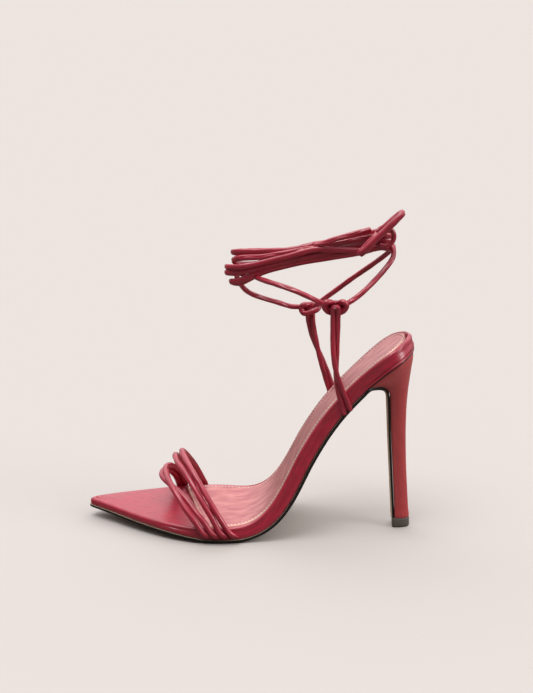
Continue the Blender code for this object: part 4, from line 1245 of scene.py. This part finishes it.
def makeSock():
    s, y, fromEdge, part = sockGrid()
    share = np.broadcast_to(cupped(part), s.shape)
    top = last.place(s, y, sockHeight(s, y, np.maximum(fromEdge, 0), share))
    low = -sockSizes["top"] - sockSizes["thick"] * sockSizes["sunk"]
    bottom = last.place(s, y, low - footbedSizes["dish"] * share)
    cloth = np.stack([y, s], -1)
    # The band along the edge takes the paler foil: a painted highlight.
    pale = (fromEdge[:-1, :-1] < sockSizes["paintedHighlightEdge"]).astype(int)
    sheets = [(top, cloth, pale), (bottom, cloth, 0)]
    for pick in (np.s_[0], np.s_[-1], np.s_[:, 0], np.s_[:, -1]):
        rim = np.stack([top[pick], bottom[pick]], 0)
        sheets.append((rim, np.stack([cloth[pick], cloth[pick] + 1.0], 0), 0))
    piece = surface("insole_sock_leather", sheets, [foilLeather, edgeHighlightFoil])
    finishPiece(piece, ("insole_sock",))


makeFootbed()
makeSock()
print("footbed and sock made")


# Heel, sole and top lift

def heelSection():
    outer = [(p, -q, 0.0) for p, q in heelSizes["shape"]]
    inner = [(p, q, 0.0) for p, q in heelSizes["shape"][-2:0:-1]]
    line = evenLine(outer + inner, heelSizes["sectionStep"], closed=True)
    return smoothLine(line, 0.05, heelSizes["sectionStep"], closed=True)[:, :2]


def closedEnd(ring, places):
    # The sheet that closes a ring at its middle.
    centre = np.broadcast_to(ring[:-1].mean(0), ring.shape)
    return np.stack([ring, centre], 0), np.stack([places, places + 1.0], 0), 0


def makeHeel():
    rows, section = np.array(heelSizes["rows"]), heelSection()
    p, q = section[:, 0], section[:, 1]
    rings = [
        np.stack([frontX + p * (backX - frontX), q * half, frontZ + p * (backZ - frontZ)], 1)
        for frontX, frontZ, backX, backZ, half in rows
    ]
    start = last.sAt(heelSizes["seat"]) + heelSizes["crownAhead"]
    end = last.length - heelSizes["crownBack"]
    s = start + p * (end - start)
    edge = np.where(q < 0, last.edge("outer", s), last.edge("inner", s))
    edge = edge - np.sign(q) * heelSizes["crownInset"]
    fullness = 1 + (heelSizes["crownFullness"] - 1) * smoothstep(p / heelSizes["crownFront"])
    crown = last.place(s, edge * np.minimum(1, np.abs(q) * fullness), -last.wall(s) - heelSizes["gap"])
    rings.append(crown)
    rings = np.array(rings)
    held = np.vstack([[2 * rings[0] - rings[1]], rings, [2 * rings[-1] - rings[-2]]])
    dense = []
    for a, b, c, d in zip(held, held[1:], held[2:], held[3:]):
        steps = max(2, round(np.linalg.norm(c - b, axis=1).max() / heelSizes["rowStep"]))
        for t in np.arange(steps) / steps:
            dense.append(curveBetween(a, b, c, d, t))
    dense.append(crown)
    dense = np.array(dense)
    middle = dense.mean(1, keepdims=True)
    outward = dense - middle
    outward[..., 2] = 0
    outward = unit(outward + 1e-9)
    height = dense[..., 2] - heelSizes["liftHeight"]
    angle = np.arctan2(outward[..., 1], outward[..., 0])
    folds = heelSizes["gathers"] * angle + heelSizes["gatherSwing"] * np.sin(3 * angle)
    folds = folds + heelSizes["gatherTwist"] * height
    gather = heelSizes["gatherDepth"] * np.sin(folds)
    fade = np.exp(-height / heelSizes["gatherHeight"])
    swell = heelSizes["bulge"] * bump(height, *heelSizes["bulgeAt"]) + gather * fade
    dense = dense + outward * swell[..., None]
    inset = unit(dense[-1].mean(0) - dense[-1])
    for row, tuck in zip((-1, -2), heelSizes["crownTuck"]):
        dense[row] = dense[row] + inset * tuck
    dense = np.concatenate([dense, dense[:, :1]], axis=1)
    around = distances(rings[3])
    around = np.append(around, around[-1] * (1 + 1 / len(around)))
    climb = np.concatenate([[0], np.cumsum(np.linalg.norm(np.diff(dense, axis=0), axis=2).mean(1))])
    cloth = np.stack(np.broadcast_arrays(around[None, :], climb[:, None]), -1)
    sheets = [(dense, cloth, 0), closedEnd(dense[0], cloth[0]), closedEnd(dense[-1], cloth[0])]
    finishPiece(surface("heel_satin", sheets, [heelSatin]), ("heel",))


def makeLift():
    front, _, back, _, half = heelSizes["rows"][0]
    section = heelSection()
    rings = []
    for z, proud in heelSizes["liftRows"]:
        start, end = front - heelSizes["liftAhead"] - proud / 2, back + proud
        rings.append(np.stack([start + section[:, 0] * (end - start), section[:, 1] * (half + proud),
                               np.full(len(section), z)], 1))
    rings = np.array(rings)
    rings = np.concatenate([rings, rings[:, :1]], axis=1)
    flat = np.stack([rings[..., 1], rings[..., 2]], -1)
    sheets = [(rings, flat, 0), closedEnd(rings[0], flat[0]), closedEnd(rings[-1], flat[0])]
    finishPiece(surface("heel_lift", sheets, [liftRubber], sharpAngle=40), ("heel_tip",))


seamSizes = {"inset": 0.15, "below": 0.2, "radius": 0.42, "ahead": 4.0}
outsoleSizes = {
    "gap": 0.4,
    "thick": 1.9,
    "tipThick": 1.6,
    "toeRun": 50.0,
    "proud": 0.6,
    "flapThick": 2.3,
    "flapPaint": 0.4,       # the part of the flap's edge that is painted
    "flapInset": 0.7,
    "flapWidthShare": 0.86,
    "flapFrom": 12.0,
    "crownHalfWidth": 19.4,
    "step": 1.0,
    "railThin": 8,          # one point in eight, so that the line runs smoothly into the flap
    "softness": 1.2,
    # Down the edge of a section: how far out from the edge, and the part of the thickness.
    "edge": ((0.0, 0.0), (0.1, 0.12), (0.2, 0.35), (0.2, 0.65), (0.05, 0.88), (-0.25, 1.0)),
    "bottomParts": (0.04, 0.12, 0.25, 0.4, 0.5, 0.6, 0.75, 0.88, 0.96),
    "topParts": (0.75, 0.5, 0.25),
}


def soleRail():
    # The sole's upper face along its middle: x, z, y, s, thickness and, for the flap, half width;
    # then the direction out of that face at each place.
    seat = last.sAt(heelSizes["seat"])
    s = np.arange(-2.0, seat, outsoleSizes["step"])
    top = last.place(s, 0.0, -last.wall(s) - outsoleSizes["gap"])
    grown = smoothstep(s / outsoleSizes["toeRun"])
    thick = outsoleSizes["tipThick"] + (outsoleSizes["thick"] - outsoleSizes["tipThick"]) * grown
    rows = np.array(heelSizes["rows"])[::-1]
    crownS = seat + heelSizes["crownAhead"]
    crown = last.place(crownS, 0.0, -last.wall(crownS) - heelSizes["gap"])
    fronts = np.vstack([[crown[0], crown[2]], rows[:, :2]])
    widths = np.concatenate([[outsoleSizes["crownHalfWidth"]], rows[:, 4] * outsoleSizes["flapWidthShare"]])
    away = unit(np.gradient(fronts, axis=0))
    fronts = fronts + np.stack([away[:, 1], -away[:, 0]], 1) * heelSizes["gap"]
    share = np.minimum(1, np.arange(len(fronts)) / 4)
    half = widths - outsoleSizes["flapInset"] * share + outsoleSizes["proud"] * (1 - share)
    flapThick = outsoleSizes["thick"] + (outsoleSizes["flapThick"] - outsoleSizes["thick"]) * share
    thin = outsoleSizes["railThin"]
    s, top, thick = s[::thin], top[::thin], thick[::thin]
    soleHalf = np.full(len(top), outsoleSizes["crownHalfWidth"] + outsoleSizes["proud"])
    table = np.column_stack([
        np.concatenate([top[:, 0], fronts[:, 0]]), np.concatenate([top[:, 2], fronts[:, 1]]),
        np.zeros(len(top) + len(fronts)), np.concatenate([s, crownS + distances(fronts)]),
        np.concatenate([thick, flapThick]), np.concatenate([soleHalf, half]),
    ])
    line = smoothLine(evenLine(table, outsoleSizes["step"]), outsoleSizes["softness"], outsoleSizes["step"])
    slope = unit(np.gradient(line[:, :2], axis=0))
    return line, np.stack([slope[:, 1], -slope[:, 0]], 1)


def makeOutsole():
    line, outward = soleRail()
    seat = last.sAt(heelSizes["seat"])
    outline = last.outline(footbedSizes["stations"])
    outline = outline - inwards(outline) * outsoleSizes["proud"]
    half = len(outline) // 2
    outer, inner = outline[:half + 1], outline[(-np.arange(half + 1)) % len(outline)]
    kept = (outer[:, 0] < seat) & (inner[:, 0] < seat)
    outer, inner = outer[kept], inner[kept]
    flap = line[line[:, 3] > max(outer[-1, 0], inner[-1, 0]) + 0.5]
    flapOuter = np.stack([flap[:, 3], -flap[:, 5]], 1)
    flapInner = np.stack([flap[:, 3], flap[:, 5]], 1)
    outer, inner = np.vstack([outer, flapOuter]), np.vstack([inner, flapInner])

    def place(s, y, part):
        depth = part * np.interp(s, line[:, 3], line[:, 4])
        x = np.interp(s, line[:, 3], line[:, 0]) + depth * np.interp(s, line[:, 3], outward[:, 0])
        z = np.interp(s, line[:, 3], line[:, 1]) + depth * np.interp(s, line[:, 3], outward[:, 1])
        return np.stack([x, y, z], -1)

    def edgeLine(points, out, sign):
        away = unit(np.gradient(points, axis=0))
        normal = np.stack([away[:, 1], -away[:, 0]], 1) * sign
        return points + normal * out

    columns, slots = [], []

    def addColumn(where, part, paint):
        columns.append(place(where[:, 0], where[:, 1], part))
        slots.append(paint)

    edge, lowOut = outsoleSizes["edge"], outsoleSizes["edge"][-1][0]
    for out, part in edge:
        addColumn(edgeLine(outer, out, 1), part, 0)
    slots[-1] = 1
    lowOuter, lowInner = edgeLine(outer, lowOut, 1), edgeLine(inner, lowOut, -1)
    for fraction in outsoleSizes["bottomParts"]:
        addColumn(lowOuter + (lowInner - lowOuter) * fraction, 1.0, 1)
    for out, part in edge[::-1]:
        addColumn(edgeLine(inner, out, -1), part, 0)
    slots[-1] = 1
    for fraction in outsoleSizes["topParts"]:
        addColumn(outer + (inner - outer) * fraction, 0.0, 1)
    columns.append(columns[0])
    grid = np.stack(columns, 1)
    lengths = np.linalg.norm(np.diff(grid, axis=1), axis=2)
    around = np.concatenate([np.zeros((len(grid), 1)), np.cumsum(lengths, axis=1)], axis=1)
    along = np.broadcast_to(((outer[:, 0] + inner[:, 0]) / 2)[:, None], around.shape)
    cloth = np.stack([around, along], -1)
    slots = np.broadcast_to(slots, (len(grid) - 1, len(slots))).copy()
    onFlap = outer[1:, 0] > seat + heelSizes["crownAhead"] + outsoleSizes["flapFrom"]
    bare = [i for i, (_, part) in enumerate(edge) if part > outsoleSizes["flapPaint"]]
    farEdge = 2 * len(edge) + len(outsoleSizes["bottomParts"]) - 2
    for column in bare + [farEdge - i for i in bare]:
        slots[onFlap, column] = 1
    centre = np.broadcast_to(grid[-1].mean(0), grid[-1].shape)
    flapEnd = (np.stack([grid[-1], centre], 0), np.stack([cloth[-1], cloth[-1] + 1.0], 0), 1)
    sheets = [(grid, cloth, slots), flapEnd]
    piece = surface("outsole_leather", sheets, [edgePaint, soleLeather], sharpAngle=60)
    finishPiece(piece, ("outsole",))


def makeSeatSeam():
    # The black painted line between the footbed and the heel.
    outline = last.outline(footbedSizes["stations"])
    where = outline + inwards(outline) * seamSizes["inset"]
    where = where + inwards(outline) * drawnIn(where[:, 0])[:, None]
    where = where[outline[:, 0] > last.sAt(heelSizes["seat"]) - seamSizes["ahead"]]
    path = last.place(where[:, 0], where[:, 1], -last.wall(where[:, 0]) - seamSizes["below"])
    piece = makeTube("seat_seam", smoothLine(path, 1.0, 1.0), seamSizes["radius"], edgePaint, creaseDepth=0.0)
    finishPiece(piece, ())


makeHeel()
makeLift()
makeOutsole()
makeSeatSeam()
print("heel, lift and outsole made")


# Stitches round the sock, set by Geometry Nodes

def buildStitchTree():
    tree = bpy.data.node_groups.new("stitch_row", "GeometryNodeTree")
    tree.interface.new_socket("Geometry", in_out="INPUT", socket_type="NodeSocketGeometry")
    for name, kind in (("Spacing", "NodeSocketFloat"), ("Length", "NodeSocketFloat"),
                       ("Half Width", "NodeSocketFloat"), ("Material", "NodeSocketMaterial")):
        tree.interface.new_socket(name, in_out="INPUT", socket_type=kind)
    tree.interface.new_socket("Geometry", in_out="OUTPUT", socket_type="NodeSocketGeometry")
    given = addNode(tree, "NodeGroupInput").outputs
    line = addNode(tree, "GeometryNodeMeshToCurve", {"Mesh": given["Geometry"]})
    points = addNode(tree, "GeometryNodeCurveToPoints", {
        "Curve": line, "Length": given["Spacing"],
    }, mode="LENGTH")
    facing = addNode(tree, "GeometryNodeInputNamedAttribute", {"Name": "facing"}, data_type="FLOAT_VECTOR")
    turn = addNode(tree, "FunctionNodeAxesToRotation", {
        "Primary Axis": facing, "Secondary Axis": points.outputs["Tangent"],
    }, primary_axis="Z", secondary_axis="X")
    half = addNode(tree, "ShaderNodeMath", {0: given["Length"], 1: 0.5}, operation="MULTIPLY")
    size = addNode(tree, "ShaderNodeCombineXYZ", {
        "X": half, "Y": given["Half Width"], "Z": given["Half Width"],
    })
    ball = addNode(tree, "GeometryNodeMeshUVSphere", {"Segments": 8, "Rings": 6, "Radius": 1.0})
    ball = addNode(tree, "GeometryNodeTransform", {"Geometry": ball, "Rotation": (0.0, math.pi / 2, 0.0)})
    ball = addNode(tree, "GeometryNodeTransform", {"Geometry": ball, "Scale": size})
    ball = addNode(tree, "GeometryNodeSetShadeSmooth", {"Geometry": ball})
    row = addNode(tree, "GeometryNodeInstanceOnPoints", {
        "Points": points.outputs["Points"], "Instance": ball, "Rotation": turn,
    })
    row = addNode(tree, "GeometryNodeRealizeInstances", {"Geometry": row})
    row = addNode(tree, "GeometryNodeSetMaterial", {"Geometry": row, "Material": given["Material"]})
    addNode(tree, "NodeGroupOutput", {"Geometry": row})
    return tree


def makeStitches():
    inset = sockSizes["stitchInset"]
    outline = last.outline(footbedSizes["stations"])
    line = outline + inwards(outline) * (sockSizes["rim"] + inset)
    ahead = line[:, 0] - last.sAt(sockFront(line[:, 1]))
    end = sockEnd()
    count = len(line)
    keep = (ahead > inset) & (line[:, 0] < end - inset)
    order = np.roll(np.arange(count), -np.argmax(keep & ~np.roll(keep, 1)))
    segments, run = [], []
    for i in order:
        if keep[i]:
            run.append(i)
        elif run:
            segments.append(run)
            run = []
    if run:
        segments.append(run)
    vertices, edges, facing = [], [], []
    for run in segments:
        s, y = line[run].T
        height = -sockSizes["top"] + sockSizes["thick"] * sockSizes["rise"] - sockSizes["stitchDepth"]
        height += sockSizes["stitchHalfWidth"] * sockSizes["stitchRise"]
        points = last.place(s, y, height - footbedSizes["dish"] * sockSizes["stitchDish"])
        above = last.place(s, y, height + 1.0) - last.place(s, y, height)
        start = len(vertices)
        vertices += list(points)
        facing += list(above)
        edges += [(start + i, start + i + 1) for i in range(len(points) - 1)]
    source = bpy.data.meshes.new("stitch_line")
    source.from_pydata((np.array(vertices) * mm).tolist(), edges, [])
    facings = source.attributes.new("facing", "FLOAT_VECTOR", "POINT")
    facings.data.foreach_set("vector", np.array(facing).ravel())
    mesh = runNodes("sock_stitches", source, buildStitchTree(), {
        "Spacing": sockSizes["stitchSpacing"] * mm, "Length": sockSizes["stitchLength"] * mm,
        "Half Width": sockSizes["stitchHalfWidth"] * mm, "Material": stitchThread,
    })
    finishPiece(link(bpy.data.objects.new("sock_stitches", mesh)))


makeStitches()
print("stitches made")


# Floor and light

studio = {
    "backColour": "#EFE6E1",
    "floorColour": "#B9B2AE",    # lit a good deal brighter than this
    "floorSize": 60.0,      # metres
    "floorDrop": 0.0001,    # metres, so that the sole doesn't share its plane
    "floorBounce": "#6E6864",   # what the floor gives back to the shoe, which a dark studio keeps low
    "lightColour": "#FEFEFF",
    "upFrom": (0.35, 0.9),      # how high a direction points where the light above begins and is full
    "overhead": 1.3,
    "behindFrom": (-0.1, 0.7),  # the same for the light behind the shoe
    "backdrop": 1.15,
    "frontDim": 0.05,
    # Lights as far off as a sun, so that the floor is even: from where, how wide (degrees), how strong.
    "lights": {
        "key_softbox": ((-0.2, -0.2, 1.0), 32.0, 1.42),
        "side_softbox": ((1.0, -0.28, 0.45), 26.0, 1.2),
    },
}


def makeFloor():
    size = studio["floorSize"] / 2
    mesh = bpy.data.meshes.new("studio_floor")
    corners = [(x * size, y * size, -studio["floorDrop"]) for x, y in ((-1, -1), (1, -1), (1, 1), (-1, 1))]
    mesh.from_pydata(corners, [], [(0, 1, 2, 3)])
    material, tree, shader = newMaterial("pale_studio_floor")
    seen = addNode(tree, "ShaderNodeLightPath").outputs["Is Camera Ray"]
    tone = addNode(tree, "ShaderNodeMix", {
        0: seen, 6: linear(studio["floorBounce"]), 7: linear(studio["floorColour"]),
    }, data_type="RGBA")
    tree.links.new(tone.outputs[2], shader.inputs["Base Color"])
    shader.inputs["Roughness"].default_value = 0.9
    shader.inputs["Specular IOR Level"].default_value = 0.0
    mesh.materials.append(material)
    link(bpy.data.objects.new("studio_floor", mesh))


def makeWorld():
    # A bright room above and behind, and a dim one on the camera's side.
    world = bpy.data.worlds.new("studio_room")
    world.use_nodes = True
    tree = world.node_tree
    tree.nodes.clear()
    direction = addNode(tree, "ShaderNodeTexCoord").outputs["Generated"]
    parts = addNode(tree, "ShaderNodeSeparateXYZ", {0: direction}).outputs
    up = addNode(tree, "ShaderNodeMapRange", {
        "Value": parts["Z"], "From Min": studio["upFrom"][0], "From Max": studio["upFrom"][1],
        "To Min": 0.0, "To Max": studio["overhead"],
    }, interpolation_type="SMOOTHSTEP")
    behind = addNode(tree, "ShaderNodeMapRange", {
        "Value": parts["Y"], "From Min": studio["behindFrom"][0], "From Max": studio["behindFrom"][1],
        "To Min": studio["frontDim"], "To Max": studio["backdrop"],
    }, interpolation_type="SMOOTHSTEP")
    total = addNode(tree, "ShaderNodeMath", {0: up, 1: behind}, operation="ADD")
    light = addNode(tree, "ShaderNodeBackground", {"Color": linear(studio["lightColour"]), "Strength": total})
    plain = addNode(tree, "ShaderNodeBackground", {"Color": linear(studio["backColour"]), "Strength": 1.0})
    seen = addNode(tree, "ShaderNodeLightPath").outputs["Is Camera Ray"]
    mixed = addNode(tree, "ShaderNodeMixShader", {0: seen, 1: light, 2: plain})
    addNode(tree, "ShaderNodeOutputWorld", {"Surface": mixed})
    bpy.context.scene.world = world


def makeLight(name, direction, spread, power):
    data = bpy.data.lights.new(name, "SUN")
    data.angle = math.radians(spread)
    data.energy = power
    light = bpy.data.objects.new(name, data)
    light.location = direction
    light.rotation_euler = Vector(direction).to_track_quat("Z", "Y").to_euler()
    return link(light)


makeFloor()
makeWorld()
for lightName, (lightFrom, lightSpread, lightPower) in studio["lights"].items():
    makeLight(lightName, lightFrom, lightSpread, lightPower)
bpy.context.scene.view_settings.view_transform = "Standard"
bpy.context.scene.view_settings.look = "None"
bpy.context.scene.view_settings.exposure = 0.0
bpy.context.scene.view_settings.gamma = 1.0
print("studio made")
